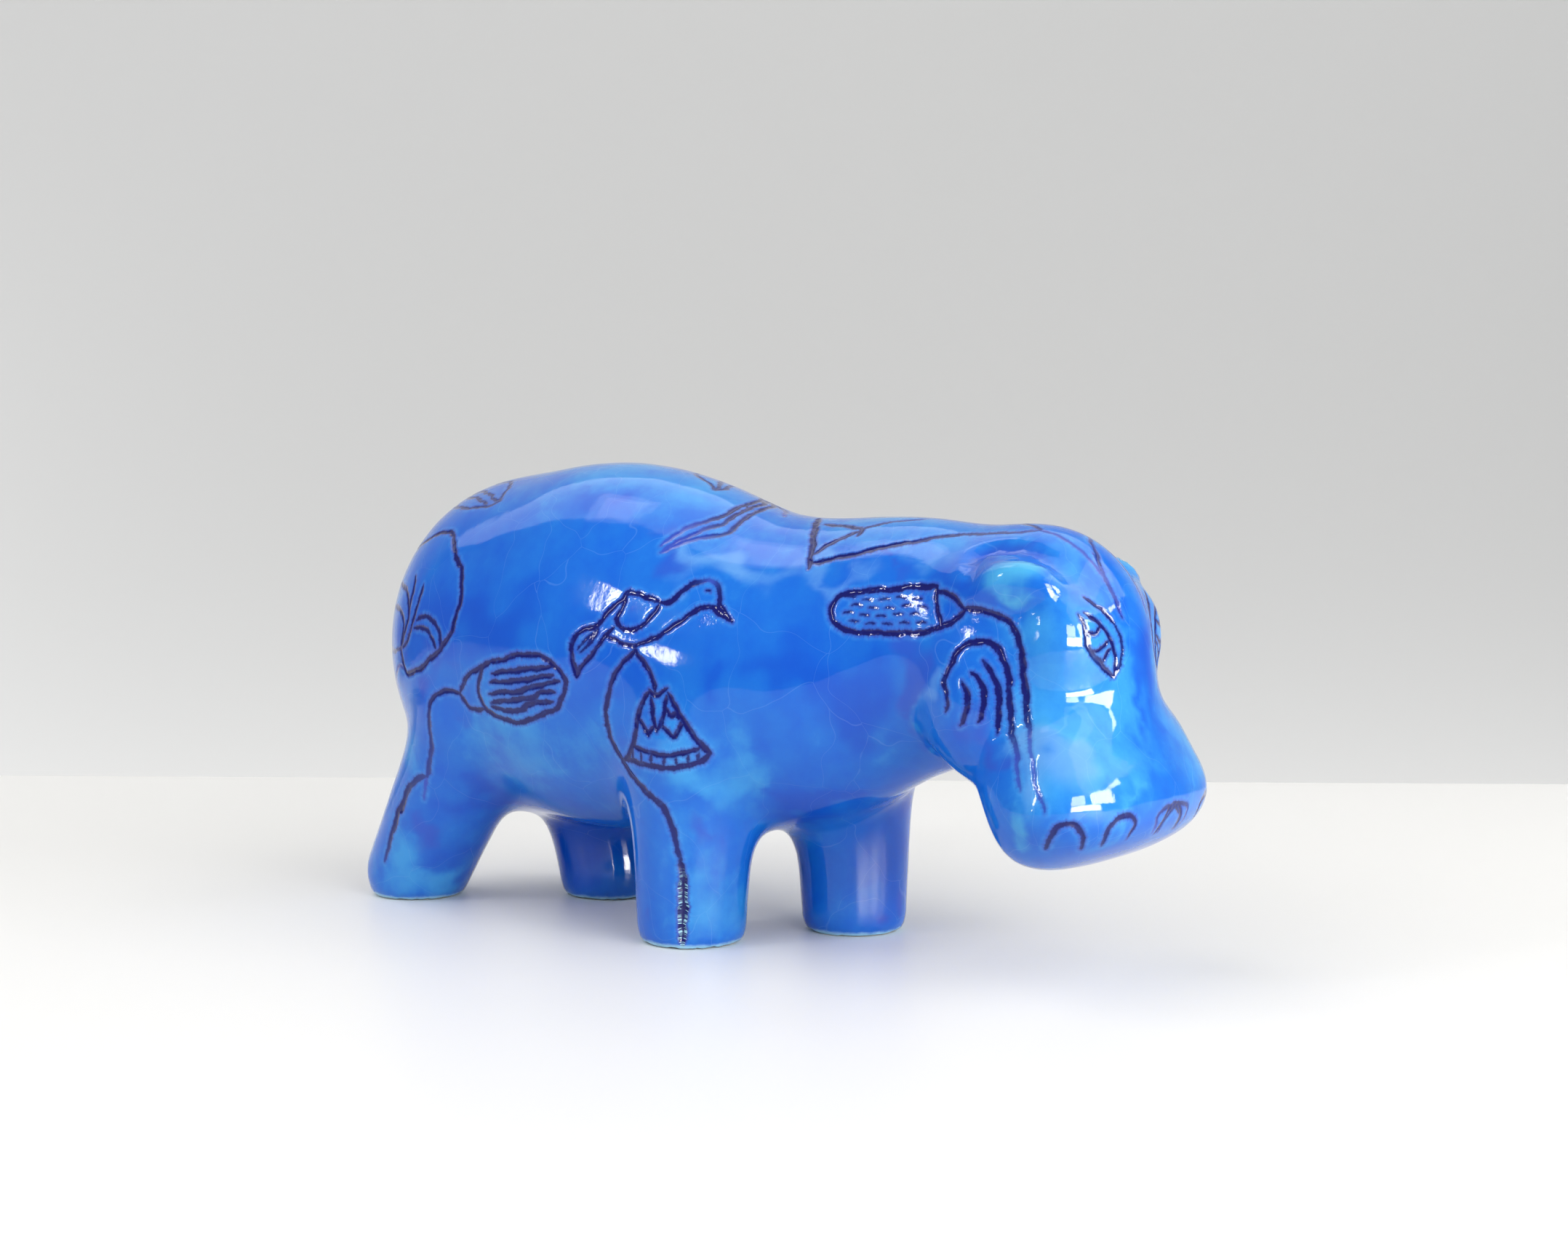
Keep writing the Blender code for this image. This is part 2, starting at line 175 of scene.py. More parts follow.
@dataclass(frozen=True)
class Figure:
    """The whole animal as one rounded form on four flat soles."""

    barrel: Lump = Lump((-35.5, 0, 61.5), (54, 37, 41.8))
    rump: Lump = Lump((-64.5, 0, 60.4), (33.8, 31, 38.2), fillet=12)
    chest: Lump = Lump((9.5, 0, 56.6), (38, 31, 31), lean=8, fillet=26)
    neck: Lump = Lump((43.5, 0, 66), (42, 22, 26), fillet=22)
    head: Lump = Lump((73.5, 0, 67), (21.5, 19, 23.5), fillet=14)
    face: Lump = Lump((79, 0, 54), (16, 20, 24), lean=-20, fillet=12)
    lip: Lump = Lump((87, 0, 36.6), (14.5, 29, 9.6), lean=-10, fillet=10)
    muzzle: Lump = Lump((84.5, 0, 39.6), (15.2, 26.5, 14.4), lean=-25, fillet=10, power=3.3)
    tail: Lump = Lump((-96.6, 0, 60), (2.4, 3.2, 12), fillet=3)
    jowl: Lump = Lump((67, 14, 55.5), (12.2, 10, 15.2), lean=-12, fillet=8)
    ear: Lump = Lump((71.5, 15.5, 79), (14, 4.8, 5), turn=8, fillet=7)
    eye: Lump = Lump((84.2, 12.2, 68.5), (8, 8, 10.5), fillet=6)
    rear_right: Leg = Leg((-63.4, -18, 45), (-90.4, -12, 6), 14.5, 12.2, 8)
    rear_left: Leg = Leg((-61.5, 17, 42), (-52.8, 15, 6), 14.2, 12.4, 16)
    front_right: Leg = Leg((-0.5, -20, 42), (-3.5, -17, 5), 14, 12, 14)
    front_left: Leg = Leg((15.2, 17, 42), (18.1, 14, 5), 14, 11.7, 15)
    sole_fillet: float = 2.0

    def masses(self) -> list[Lump]:
        """Every rounded mass, in the order in which they are blended."""
        middle = [self.barrel, self.rump, self.chest, self.neck, self.head, self.face, self.lip]
        middle += [self.muzzle, self.tail]
        for lump in (self.jowl, self.ear, self.eye):
            middle += [lump, lump.mirrored()]
        return middle

    def legs(self) -> list[Leg]:
        """The four legs."""
        return [self.rear_right, self.rear_left, self.front_right, self.front_left]

    def distance(self, points: np.ndarray) -> np.ndarray:
        """Signed distance from the figure: all masses and legs blended, then cut at the floor.

        Args:
            points: positions, one a row.

        Returns:
            One distance a point, negative inside.
        """
        total = np.full(points.shape[:-1], 1e3)
        for form in self.masses() + self.legs():
            total = blend(total, form.distance(points), form.fillet)
        return -blend(-total, points[..., 2], self.sole_fillet)

    def slope(self, points: np.ndarray) -> np.ndarray:
        """Gradient of the distance: central differences over a tenth of a millimetre."""
        reach = 0.05
        parts = [
            (self.distance(points + step) - self.distance(points - step)) / (2 * reach)
            for step in np.eye(3) * reach
        ]
        return np.stack(parts, -1)

    def settle(self, points: np.ndarray, rounds: int = 4) -> np.ndarray:
        """Points moved onto the skin by Newton steps: p - d g / |g|^2.

        Args:
            points: positions near the skin.
            rounds: how many steps are taken.

        Returns:
            The moved positions.
        """
        for _ in range(rounds):
            slope = self.slope(points)
            steep = np.maximum((slope ** 2).sum(-1), 0.05)
            points = points - (self.distance(points) / steep)[:, None] * slope
        return points


# The drawing


@dataclass(frozen=True)
class Board:
    """A flat drawing board beside the figure, whose lines are carried straight onto the skin.

    azimuth 0 looks at the drawn flank and 90 at the nose; elevation is above the floor. A
    mirrored board stands on the other side of the spine.
    """

    centre: Point
    azimuth: float
    elevation: float
    mirror: bool = False

    def axes(self) -> tuple[np.ndarray, np.ndarray, np.ndarray]:
        """The board's right, up and outward directions."""
        a = math.radians(self.azimuth)
        e = math.radians(self.elevation)
        outward = np.array([math.sin(a) * math.cos(e), -math.cos(a) * math.cos(e), math.sin(e)])
        right = np.array([math.cos(a), math.sin(a), 0.0])
        return right, np.cross(outward, right), outward

    def carry(self, figure: Figure, spots: np.ndarray) -> np.ndarray:
        """Spots of the board laid on the skin.

        Args:
            figure: the form that they land on.
            spots: right and up on the board, one spot a row.

        Returns:
            Positions on the skin: each starts far out and steps in by 0.85 of its distance.
        """
        right, up, outward = self.axes()
        start = np.array(self.centre) + spots[:, :1] * right + spots[:, 1:] * up
        points = start + outward * 120.0
        for _ in range(80):
            points = points - outward * (0.85 * figure.distance(points))[:, None]
        if self.mirror:
            points = points * np.array([1, -1, 1])
        return points


class View(Enum):
    """The boards that the drawing was made on."""

    SIDE = Board((-0.5, 0, 50), 0, 0)
    TOP = Board((-0.5, 0, 90), 0, 60)
    RUMP = Board((-80.5, -10, 60), -45, 0)
    FACE = Board((81.5, -14, 55), 50, 5)
    FRONT = Board((89.5, 0, 50), 90, 0)

    def far(self) -> Board:
        """The same board on the hidden side."""
        return replace(self.value, mirror=True)


@dataclass(frozen=True)
class Stroke:
    """One cut line: the spots it passes through, and its width and pigment along the way.

    widths, in millimetres before LINE_WEIGHT thins them, and inks, from 0 bare to 1 full and
    chipped with painted glints above 1, are spread evenly along the line. depth is how deep it
    is cut, as a share of its width.
    """

    knots: tuple[Spot, ...]
    widths: tuple[float, ...] = (1.5,)
    inks: tuple[float, ...] = (1.0,)
    closed: bool = False
    depth: float = 0.16

    def trace(self, step: float = TRACE_STEP) -> np.ndarray:
        """The smooth line through the knots, with spots an even step apart.

        Args:
            step: the distance between two spots.

        Returns:
            Spots, one a row. Between knots b and c, with neighbours a and d, the line is
            b + t/2 (c - a + t (2a - 5b + 4c - d + t (3(b - c) + d - a))).
        """
        knots = np.array(self.knots, float)
        if self.closed:
            padded = np.concatenate([knots[-1:], knots, knots[:2]])
        else:
            padded = np.concatenate([knots[:1], knots, knots[-1:]])
        a, b, c, d = padded[:-3], padded[1:-2], padded[2:-1], padded[3:]
        t = (np.arange(16) / 16)[None, :, None]
        a, b, c, d = (part[:, None] for part in (a, b, c, d))
        line = b + t / 2 * (c - a + t * (2 * a - 5 * b + 4 * c - d + t * (3 * (b - c) + d - a)))
        line = np.concatenate([line.reshape(-1, 2), padded[-2:-1]])
        walked = np.concatenate([[0], np.cumsum(np.linalg.norm(np.diff(line, axis=0), axis=1))])
        count = max(3, round(walked[-1] / step) + 1)
        even = np.linspace(0, walked[-1], count)
        return np.stack([np.interp(even, walked, line[:, k]) for k in (0, 1)], -1)


def line(*knots: Spot, width: tuple[float, ...] | float = 1.5, ink: tuple[float, ...] | float = 1.0,
         closed: bool = False, depth: float = 0.16) -> Stroke:
    """A stroke through these spots.

    Args:
        knots: the spots.
        width: one width, or several along the line.
        ink: one amount of pigment, or several along the line.
        closed: whether the line runs back to its first spot.
        depth: how deep it is cut, as a share of its width.

    Returns:
        The stroke.
    """
    widths = width if isinstance(width, tuple) else (width,)
    inks = ink if isinstance(ink, tuple) else (ink,)
    return Stroke(tuple(knots), widths, inks, closed, depth)


@dataclass
class Cut:
    """A stroke as it lies on the skin: its points, half-widths, pigment and length so far."""

    points: np.ndarray
    halves: np.ndarray
    inks: np.ndarray
    walked: np.ndarray
    depth: float

    @classmethod
    def lay(cls, figure: Figure, board: Board, strokes: list[Stroke], start: float) -> list[Cut]:
        """Strokes of one board carried onto the skin in one go.

        Args:
            figure: the form.
            board: where they were drawn.
            strokes: the lines.
            start: what the first one's length begins at, so that no two look alike.

        Returns:
            One cut a stroke. Each is pushed aside by up to 0.2 mm, as a hand wavers.
        """
        traces = [stroke.trace() for stroke in strokes]
        wavered = []
        for number, trace in enumerate(traces):
            along = np.arange(len(trace)) * TRACE_STEP + 37.0 * number + start
            tangent = unit(np.gradient(trace, axis=0))
            aside = np.stack([-tangent[:, 1], tangent[:, 0]], -1)
            sway = 0.10 * np.sin(along / 1.1) + 0.07 * np.sin(along / 0.47 + 1)
            wavered.append(trace + sway[:, None] * aside)
        laid = board.carry(figure, np.concatenate(wavered))
        cuts = []
        first = 0
        for number, (stroke, trace) in enumerate(zip(strokes, traces)):
            points = laid[first:first + len(trace)]
            first += len(trace)
            steps = np.linalg.norm(np.diff(points, axis=0), axis=1)
            walked = np.concatenate([[0], np.cumsum(steps)]) + start + 53.0 * number
            share = np.linspace(0, 1, len(trace))
            widths = np.interp(share, np.linspace(0, 1, max(2, len(stroke.widths))),
                               stroke.widths if len(stroke.widths) > 1 else stroke.widths * 2)
            inks = np.interp(share, np.linspace(0, 1, max(2, len(stroke.inks))),
                             stroke.inks if len(stroke.inks) > 1 else stroke.inks * 2)
            uneven = 1 + 0.12 * np.sin(walked / 0.9) + 0.08 * np.sin(walked / 0.37)
            halves = LINE_WEIGHT * widths / 2 * uneven
            if not stroke.closed:
                ends = np.minimum(share, 1 - share) * (walked[-1] - walked[0])
                halves = halves * np.clip(0.45 + ends / 2.2, 0, 1)
            cuts.append(cls(points, halves, inks, walked, stroke.depth))
        return cuts


@dataclass
class Marks:
    """What the drawing does at each point of a skin."""

    edge: np.ndarray
    along: np.ndarray
    ink: np.ndarray
    groove: np.ndarray


@dataclass
class Engraving:
    """Every cut of the drawing."""

    cuts: list[Cut]
    reach: float = 5.0

    def marks(self, points: np.ndarray) -> Marks:
        """How far each point is from the nearest line, and how deep it is cut there.

        Args:
            points: positions on the skin.

        Returns:
            The marks. edge is the distance past the rim of the nearest line, groove the depth
            of the deepest one: d (1 - (r / 1.5)^2)^2, where r counts half-widths, with a burr
            of 0.06 d exp(-((r - 1.9) / 0.4)^2) beside it.
        """
        count = len(points)
        found = Marks(np.full(count, self.reach), np.zeros(count), np.ones(count), np.zeros(count))
        for cut in self.cuts:
            low = cut.points.min(0) - self.reach
            high = cut.points.max(0) + self.reach
            near = np.flatnonzero(np.all((points > low) & (points < high), axis=1))
            if len(near) == 0:
                continue
            start = cut.points[:-1]
            span = cut.points[1:] - start
            offset = points[near][:, None] - start
            share = np.clip((offset * span).sum(-1) / np.maximum((span * span).sum(-1), 1e-9), 0, 1)
            gap = np.linalg.norm(offset - share[..., None] * span, axis=-1)
            best = gap.argmin(1)
            row = np.arange(len(near))
            share, gap = share[row, best], gap[row, best]
            half = cut.halves[best] * (1 - share) + cut.halves[best + 1] * share
            ink = cut.inks[best] * (1 - share) + cut.inks[best + 1] * share
            walked = cut.walked[best] * (1 - share) + cut.walked[best + 1] * share
            side = np.sign(offset[row, best][:, 2] + 0.001)
            r = gap / np.maximum(half, 0.1)
            depth = cut.depth * half * (0.55 + 0.45 * ink) * 2
            bowl = np.clip(1 - (r / 1.5) ** 2, 0, 1) ** 2
            burr = 0.06 * np.exp(-((r - 1.9) / 0.4) ** 2)
            hollow = depth * (bowl - burr)
            taken = (gap - half) < found.edge[near]
            chosen = near[taken]
            found.edge[chosen] = (gap - half)[taken]
            found.along[chosen] = (walked + 500 * (side > 0))[taken]
            found.ink[chosen] = ink[taken]
            deeper = np.abs(hollow) > np.abs(found.groove[near])
            found.groove[near[deeper]] = hollow[deeper]
        return found


# The motifs


@dataclass(frozen=True)
class StripedBud:
    """A closed lotus bud with stripes along it, a pointed calyx and a stem down the haunch."""

    body: tuple[Spot, ...] = (
        (-43.7, 9.8), (-40, 10.4), (-36.7, 11.5), (-32.7, 12), (-29.3, 12), (-26, 10.8), (-23.7, 9),
        (-22.2, 6.7), (-22.7, 4.3), (-24.3, 2.3), (-25.7, 0.3), (-29.3, -0.7), (-32.7, -2.2),
        (-36.7, -3.2), (-39.3, -3.2), (-42.7, -2.5), (-47.3, -1))
    mouth: tuple[Spot, ...] = ((-43.7, 9.5), (-46, 8.3), (-48.2, 4.3), (-48, 2), (-47.3, 0), (-45.7, -1.7))
    stripes: tuple[tuple[Spot, ...], ...] = (
        ((-43.3, 7.3), (-35, 8.5), (-25.3, 9.7)),
        ((-44, 5.3), (-35, 6.2), (-25.2, 8)),
        ((-44.8, 2.5), (-41.3, 3.3), (-36.7, 3.5), (-30, 5.3), (-23.7, 6.7)),
        ((-44.7, 0.7), (-36.7, 1.8), (-31.3, 2.7), (-30, 3.7), (-25.3, 4.3)),
        ((-44.7, -0.3), (-38.3, -0.8), (-35.3, -0.3), (-33.3, 1), (-26, 2.2)))
    calyx_top: tuple[Spot, ...] = ((-55, 2.2), (-53.3, 4.5), (-50.7, 6.7), (-47.3, 8.3), (-43.7, 9.8))
    calyx_foot: tuple[Spot, ...] = ((-55, 2.2), (-52.7, -0.8), (-50, -1.2), (-47.3, -1))
    stem: tuple[Spot, ...] = (
        (-55, 2.2), (-57.3, 2.3), (-60, 2.2), (-63.6, 0.9), (-65.7, -2.3), (-65.9, -9.4), (-66.9, -13),
        (-69.4, -18.4))
    leg_run: tuple[Spot, ...] = (
        (-69.4, -18.4), (-71.5, -18.6), (-74, -19.9), (-76.1, -21.5), (-78, -23.8), (-79.6, -26.3),
        (-81.5, -28), (-82.8, -30.5), (-85.3, -34.7), (-88.2, -40.5))
    branch: tuple[Spot, ...] = ((-69.4, -18.4), (-70.6, -20.9), (-71.5, -23.8))
    blot: tuple[Spot, ...] = ((-79.2, -25.7), (-80.6, -27))

    def strokes(self) -> list[Stroke]:
        """The bud's lines; the stem thins and reddens down the leg."""
        lines = [line(*self.body, width=1.5), line(*self.mouth, width=1.3)]
        for stripe in self.stripes:
            lines.append(line(*stripe, width=(1.2, 1.8, 1.3), ink=(1, 0.9, 1), depth=0.2))
        lines += [
            line(*self.calyx_top, width=1.4),
            line(*self.calyx_foot, width=1.3),
            line(*self.stem, width=(1.5, 1.5, 1.7), ink=(1, 0.9, 0.7, 0.6)),
            line(*self.leg_run, width=(1.6, 2.0, 2.4, 1.7, 1.0), ink=(0.6, 0.8, 1, 0.8, 0.6)),
            line(*self.branch, width=(1.2, 0.8), ink=0.25),
            line(*self.blot, width=3.2),
        ]
        return lines


@dataclass(frozen=True)
class Bird:
    """A water bird with a forked tail, a folded wing and a long head."""

    back: tuple[Spot, ...] = (
        (-19.3, 7.8), (-20.2, 12), (-20.4, 15.4), (-18.3, 17.6), (-16.3, 18.3), (-14.3, 19.2), (-13, 20.8),
        (-11, 23.3), (-9.3, 24.8), (-8.8, 25.8), (-6, 25.7), (-3.3, 25), (-0.7, 24.2))
    tail_foot: tuple[Spot, ...] = (
        (-19.3, 7.8), (-17.7, 10.3), (-15.3, 12.8), (-13.3, 15.3), (-12, 17.3), (-10.2, 18.7))
    tail_eye: tuple[Spot, ...] = ((-18.8, 13.6), (-17.4, 15.6), (-15.2, 17.4), (-14.3, 17.9),
                                  (-14.7, 16.6), (-16.5, 14.4), (-18.4, 13.2))
    wing: tuple[Spot, ...] = (
        (-8.8, 25.3), (-9, 23.3), (-9.7, 21.3), (-9.7, 19.7), (-8.3, 18.5), (-6.7, 18.2), (-4.3, 19),
        (-2.3, 20.7), (-1, 22.7), (-0.7, 24.2))
    head: tuple[Spot, ...] = (
        (-0.7, 24.2), (1.3, 24.2), (3.3, 26.2), (5.3, 28), (7.4, 28.8), (9.3, 28.8), (11, 27.7),
        (12.2, 26.2), (13, 23.9), (14.3, 22.6), (16.7, 20.7))
    belly: tuple[Spot, ...] = (
        (-12.3, 17), (-10, 16.2), (-7.7, 15.3), (-5, 15.2), (-2.7, 15.8), (0, 17), (2.3, 18.5), (5, 20.3),
        (7, 22.2), (9.3, 23.3), (11.7, 23.5), (13.4, 22.4), (16.7, 20.7))
    tail_bar: tuple[Spot, ...] = ((-13.8, 19), (-14.6, 17.4), (-16.6, 15.3))
    eye: tuple[Spot, ...] = ((8.9, 26.9), (9.7, 26.7))

    def strokes(self) -> list[Stroke]:
        """The bird's lines; the crown of its head is thin and reddish."""
        return [
            line(*self.back, width=(1.6, 1.4, 1.5, 1.4)),
            line(*self.tail_foot, width=(1.5, 1.3, 1.2)),
            line(*self.tail_eye, width=0.8, ink=0.85),
            line(*self.tail_bar, width=0.8, ink=0.8),
            line(*self.wing, width=1.3),
            line(*self.head, width=(1.5, 1.6, 1.7, 1.1, 1.3, 1.5, 1.3), ink=(1, 1, 0.9, 0.35, 0.9, 1, 1)),
            line(*self.belly, width=(1.0, 1.2, 1.4, 1.5, 1.5)),
            line(*self.eye, width=1.1),
        ]


@dataclass(frozen=True)
class BellFlower:
    """An open lotus hanging as a bell from a looped stem that runs on down the foreleg."""

    loop: tuple[Spot, ...] = (
        (-4.8, 14.6), (-5.3, 13.3), (-7.3, 11.7), (-9, 9.8), (-10.3, 7.3), (-11.5, 4.3), (-12.3, 1),
        (-12.5, -1.7), (-12, -4.7), (-10.8, -7.3), (-9.5, -9.3), (-7.7, -11.3), (-5.7, -13.3),
        (-3.7, -14.8), (-1.3, -16.5), (0.7, -18), (2.2, -19.8), (3.3, -25), (3.9, -30))
    leg_run: tuple[Spot, ...] = ((3.9, -30), (3.9, -35), (3.3, -40), (2.7, -45), (2.1, -49.2))
    stalk: tuple[Spot, ...] = ((-4.6, 14.3), (-4, 13), (-2.3, 11.7), (-1, 10), (0, 8), (0.8, 5.7))
    collar: tuple[Spot, ...] = ((-0.8, 6.2), (0.2, 5.2), (1.4, 5.2), (2.6, 5.8), (3.7, 6.6))
    left: tuple[Spot, ...] = (
        (-0.8, 5.5), (-2.3, 3.7), (-3.2, 1.3), (-3.7, -1), (-4.3, -3.7), (-5, -6), (-6, -7.3), (-7, -8.7),
        (-8.7, -9.3))
    right: tuple[Spot, ...] = ((3.7, 5.7), (6, 2.7), (7.7, 0), (9.7, -2.7), (11.3, -5), (12.9, -6.7))
    petals: tuple[tuple[Spot, ...], ...] = (
        ((-0.3, 4.6), (0.4, 1.8), (0.9, -0.8), (1.6, -2.4)),
        ((3.6, 5), (3.2, 1.8), (2.6, -0.6), (1.8, -2.4)),
        ((-3.4, 0.4), (-2.2, -1.4), (-1, -2.6), (-0.4, -3.6)),
        ((0.9, -0.9), (0.3, -2.2), (-0.3, -3.4)),
        ((2.8, -0.9), (4.2, -2.3), (6, -3.4), (7.3, 0.2)),
        ((3.5, 2.6), (4.9, 0.8), (6.1, 1.6), (6.7, 0.4)))
    hem_top: tuple[Spot, ...] = ((-4.7, -5.8), (-2, -6.7), (1.7, -7.3), (5.7, -7.2), (9, -6.3), (11, -5.3))
    hem_foot: tuple[Spot, ...] = (
        (-8.7, -9.2), (-5.7, -9.3), (-2, -9.7), (1.7, -10.1), (5.7, -9.9), (9, -9.2), (11.3, -8),
        (12.9, -6.7))
    bars: tuple[float, ...] = (-5.2, -2.7, 0.2, 3.2, 6.0, 8.5, 10.4)

    def strokes(self) -> list[Stroke]:
        """The flower's lines; its stem is cut deep down the leg, where more than full ink chips it and
        paints glints on it.
        """
        lines = [
            line(*self.loop, width=(1.3, 1.4, 1.5, 1.7, 2.0, 1.8, 1.3), ink=(1, 1, 1, 0.95, 0.85)),
            line(*self.leg_run, width=(1.4, 2.3, 2.8, 2.4, 1.6), ink=(0.9, 1.4, 1.5, 1.5), depth=0.38),
            line(*self.stalk, width=1.4),
            line(*self.collar, width=1.3),
            line(*self.left, width=1.6),
            line(*self.right, width=(1.3, 1.5, 1.8)),
            line(*self.hem_top, width=1.3),
            line(*self.hem_foot, width=1.5),
        ]
        lines += [line(*petal, width=1.3) for petal in self.petals]
        for u in self.bars:
            low = -9.9 + 0.02 * (u - 2) ** 2
            high = -7.2 + 0.016 * (u - 3) ** 2
            lines.append(line((u - 0.1, low), (u, (low + high) / 2), (u + 0.2, high), width=0.9, ink=0.9))
        return lines


@dataclass(frozen=True)
class DashedBud:
    """A long bud filled with rows of short dashes, ringed at its calyx."""

    body: tuple[Spot, ...] = (
        (60.2, 29), (53.2, 28.6), (49.4, 28), (45.5, 27.8), (41.7, 27.2), (38.4, 26.3), (37.3, 24.2),
        (37.9, 22.2), (39.8, 20.3), (42.5, 19.5), (47.5, 19.4), (53, 19.5), (57.1, 19.7), (60.5, 20.5),
        (63.2, 21.5), (65.5, 22.8), (67.5, 24.5))
    ring: tuple[Spot, ...] = ((59.8, 29.2), (60.5, 26.1), (61.3, 23.4), (62.3, 21.2))
    calyx: tuple[Spot, ...] = ((59.8, 28.2), (62.5, 27.8), (64.8, 26.8), (67.5, 24.7))
    stem: tuple[Spot, ...] = ((67.5, 24.7), (70.5, 24.7), (73.5, 24.5))
    rows: tuple[float, ...] = (26.2, 24.6, 23.0, 21.4)

    def strokes(self) -> list[Stroke]:
        """The bud's lines and its dashes, each row set off from the last."""
        lines = [
            line(*self.body, width=(1.7, 1.6, 1.4, 1.5, 1.6)),
            line(*self.ring, width=1.2),
            line(*self.calyx, width=1.4),
            line(*self.stem, width=1.5),
        ]
        for number, v in enumerate(self.rows):
            start = 40.2 + 1.6 * (number % 2)
            for u in np.arange(start, 58.5, 3.7):
                low = v + 0.35 * math.sin(2.1 * u + 3 * number)
                dash = ((u, low), (u + 1, low + 0.15), (u + 2, low))
                lines.append(line(*dash, width=0.8, ink=0.9))
        return lines


@dataclass(frozen=True)
class NeckLotus:
    """A long-stalked lotus laid along the neck, with its stalk crossing the forehead."""

    rim: tuple[Spot, ...] = (
        (20, -1), (22.5, -5.3), (24.4, -9.2), (26.4, -13.1), (28.3, -17.6), (29.4, -20.9))
    fold: tuple[Spot, ...] = ((25, -5.9), (30, -6.7), (33.3, -7.6), (36.1, -8.4), (36.3, -11))
    inner: tuple[Spot, ...] = ((35.6, -9.6), (32.8, -12), (30.8, -14.2), (29, -17))
    outer: tuple[Spot, ...] = ((36.1, -8.4), (38.3, -6.7), (40.6, -4.8), (44.4, -3.2), (47.5, -1))
    edge: tuple[Spot, ...] = (
        (29.7, -19.5), (34.4, -17.8), (39.4, -16.2), (43.9, -14.2), (47.8, -12.8), (51.1, -11.4),
        (54.4, -9.5), (58.3, -7.8), (62.2, -7), (66.7, -6.7), (71.7, -6.3), (74.2, -5.3), (75.6, -4.3))
    brow: tuple[Spot, ...] = (
        (75.6, -4.3), (80, -5.1), (83.9, -6.2), (87.2, -7.6), (90, -8.9), (92.2, -10.9), (94.2, -12.8))
    crown: tuple[Spot, ...] = ((82.2, 1.9), (84.4, -1.2), (86.7, -4.2), (89.4, -8.1))
    far_edge: tuple[Spot, ...] = ((58, 8), (64, 3), (70, -0.6), (75.6, -4.0))

    def strokes(self) -> list[Stroke]:
        """The lotus on the neck and the two thin lines of the forehead."""
        return [
            line(*self.rim, width=(1.5, 1.9, 1.8, 1.4), depth=0.26),
            line(*self.fold, width=1.5, ink=0.95),
            line(*self.inner, width=1.6, ink=0.95),
            line(*self.outer, width=(1.4, 1.1), ink=(0.9, 0.5)),
            line(*self.edge, width=(1.5, 1.6, 1.3, 1.0), ink=(1, 0.95, 0.8, 0.6)),
            line(*self.brow, width=(0.9, 0.8, 1.1), ink=(0.5, 0.4, 0.6)),
            line(*self.crown, width=(0.9, 1.2), ink=(0.55, 0.8)),
            line(*self.far_edge, width=1.2, ink=0.7),
        ]


@dataclass(frozen=True)
class BackBundle:
    """Three stalks bent together over the back, with the tip of a leaf behind them."""

    stalks: tuple[tuple[Spot, ...], ...] = (
        ((-0.8, 7.8), (1.5, 4.5), (2.5, 1.2), (2.7, -3), (2.6, -6.8), (2.4, -10.1), (1.3, -12.2),
         (-0.2, -14.3), (-1.7, -16.3), (-2.9, -18.6), (-4.2, -20.9), (-5.1, -23.4)),
        ((0.4, 7.8), (2.7, 4.5), (4, 1.6), (4.5, -2.6), (4.4, -6.8), (4.2, -10.5), (3.8, -13.2),
         (2.1, -15.1), (0.4, -17.6), (-1, -19.7), (-3.3, -22.6), (-4.6, -24.9)),
        ((2.1, 7.4), (4.6, 4.5), (6, 1.2), (6.6, -3), (6.8, -6.8), (6.7, -10.5), (7, -13), (6.7, -15.1),
         (4.6, -16.8), (2.1, -18.6), (-0.4, -20.3), (-2.3, -22.6), (-4.6, -24.9)))
    link: tuple[Spot, ...] = ((2.8, -2), (3.6, -3.1), (4.5, -4))
    outer: tuple[Spot, ...] = ((4.2, 5.8), (8.3, 3.3), (10.8, -0.1), (12.9, -3.2))
    leaf: tuple[tuple[Spot, ...], ...] = (
        ((-16.7, 8.7), (-14.6, 5.3), (-9.2, 2.6), (-6, -0.5)),
        ((-11.3, 8.7), (-8.8, 5.3), (-7.1, 2.8), (-5.8, -0.5)),
        ((-8.3, 8.7), (-6.7, 5.3), (-5.6, 2.4), (-5.8, -0.5)))

    def strokes(self) -> list[Stroke]:
        """The stalks, which fade to a reddish wash at their low ends, and the leaf tip."""
        widths = (1.5, 1.5, 1.6, 1.3)
        lines = [line(*stalk, width=widths, ink=(0.9, 1, 0.95, 0.5, 0.3)) for stalk in self.stalks]
        lines.append(line(*self.link, width=0.8, ink=0.8))
        lines.append(line(*self.outer, width=(1.6, 1.2), ink=(0.8, 0.3)))
        lines += [line(*side, width=(1.1, 1.3, 0.9), ink=(0.7, 0.8)) for side in self.leaf]
        return lines


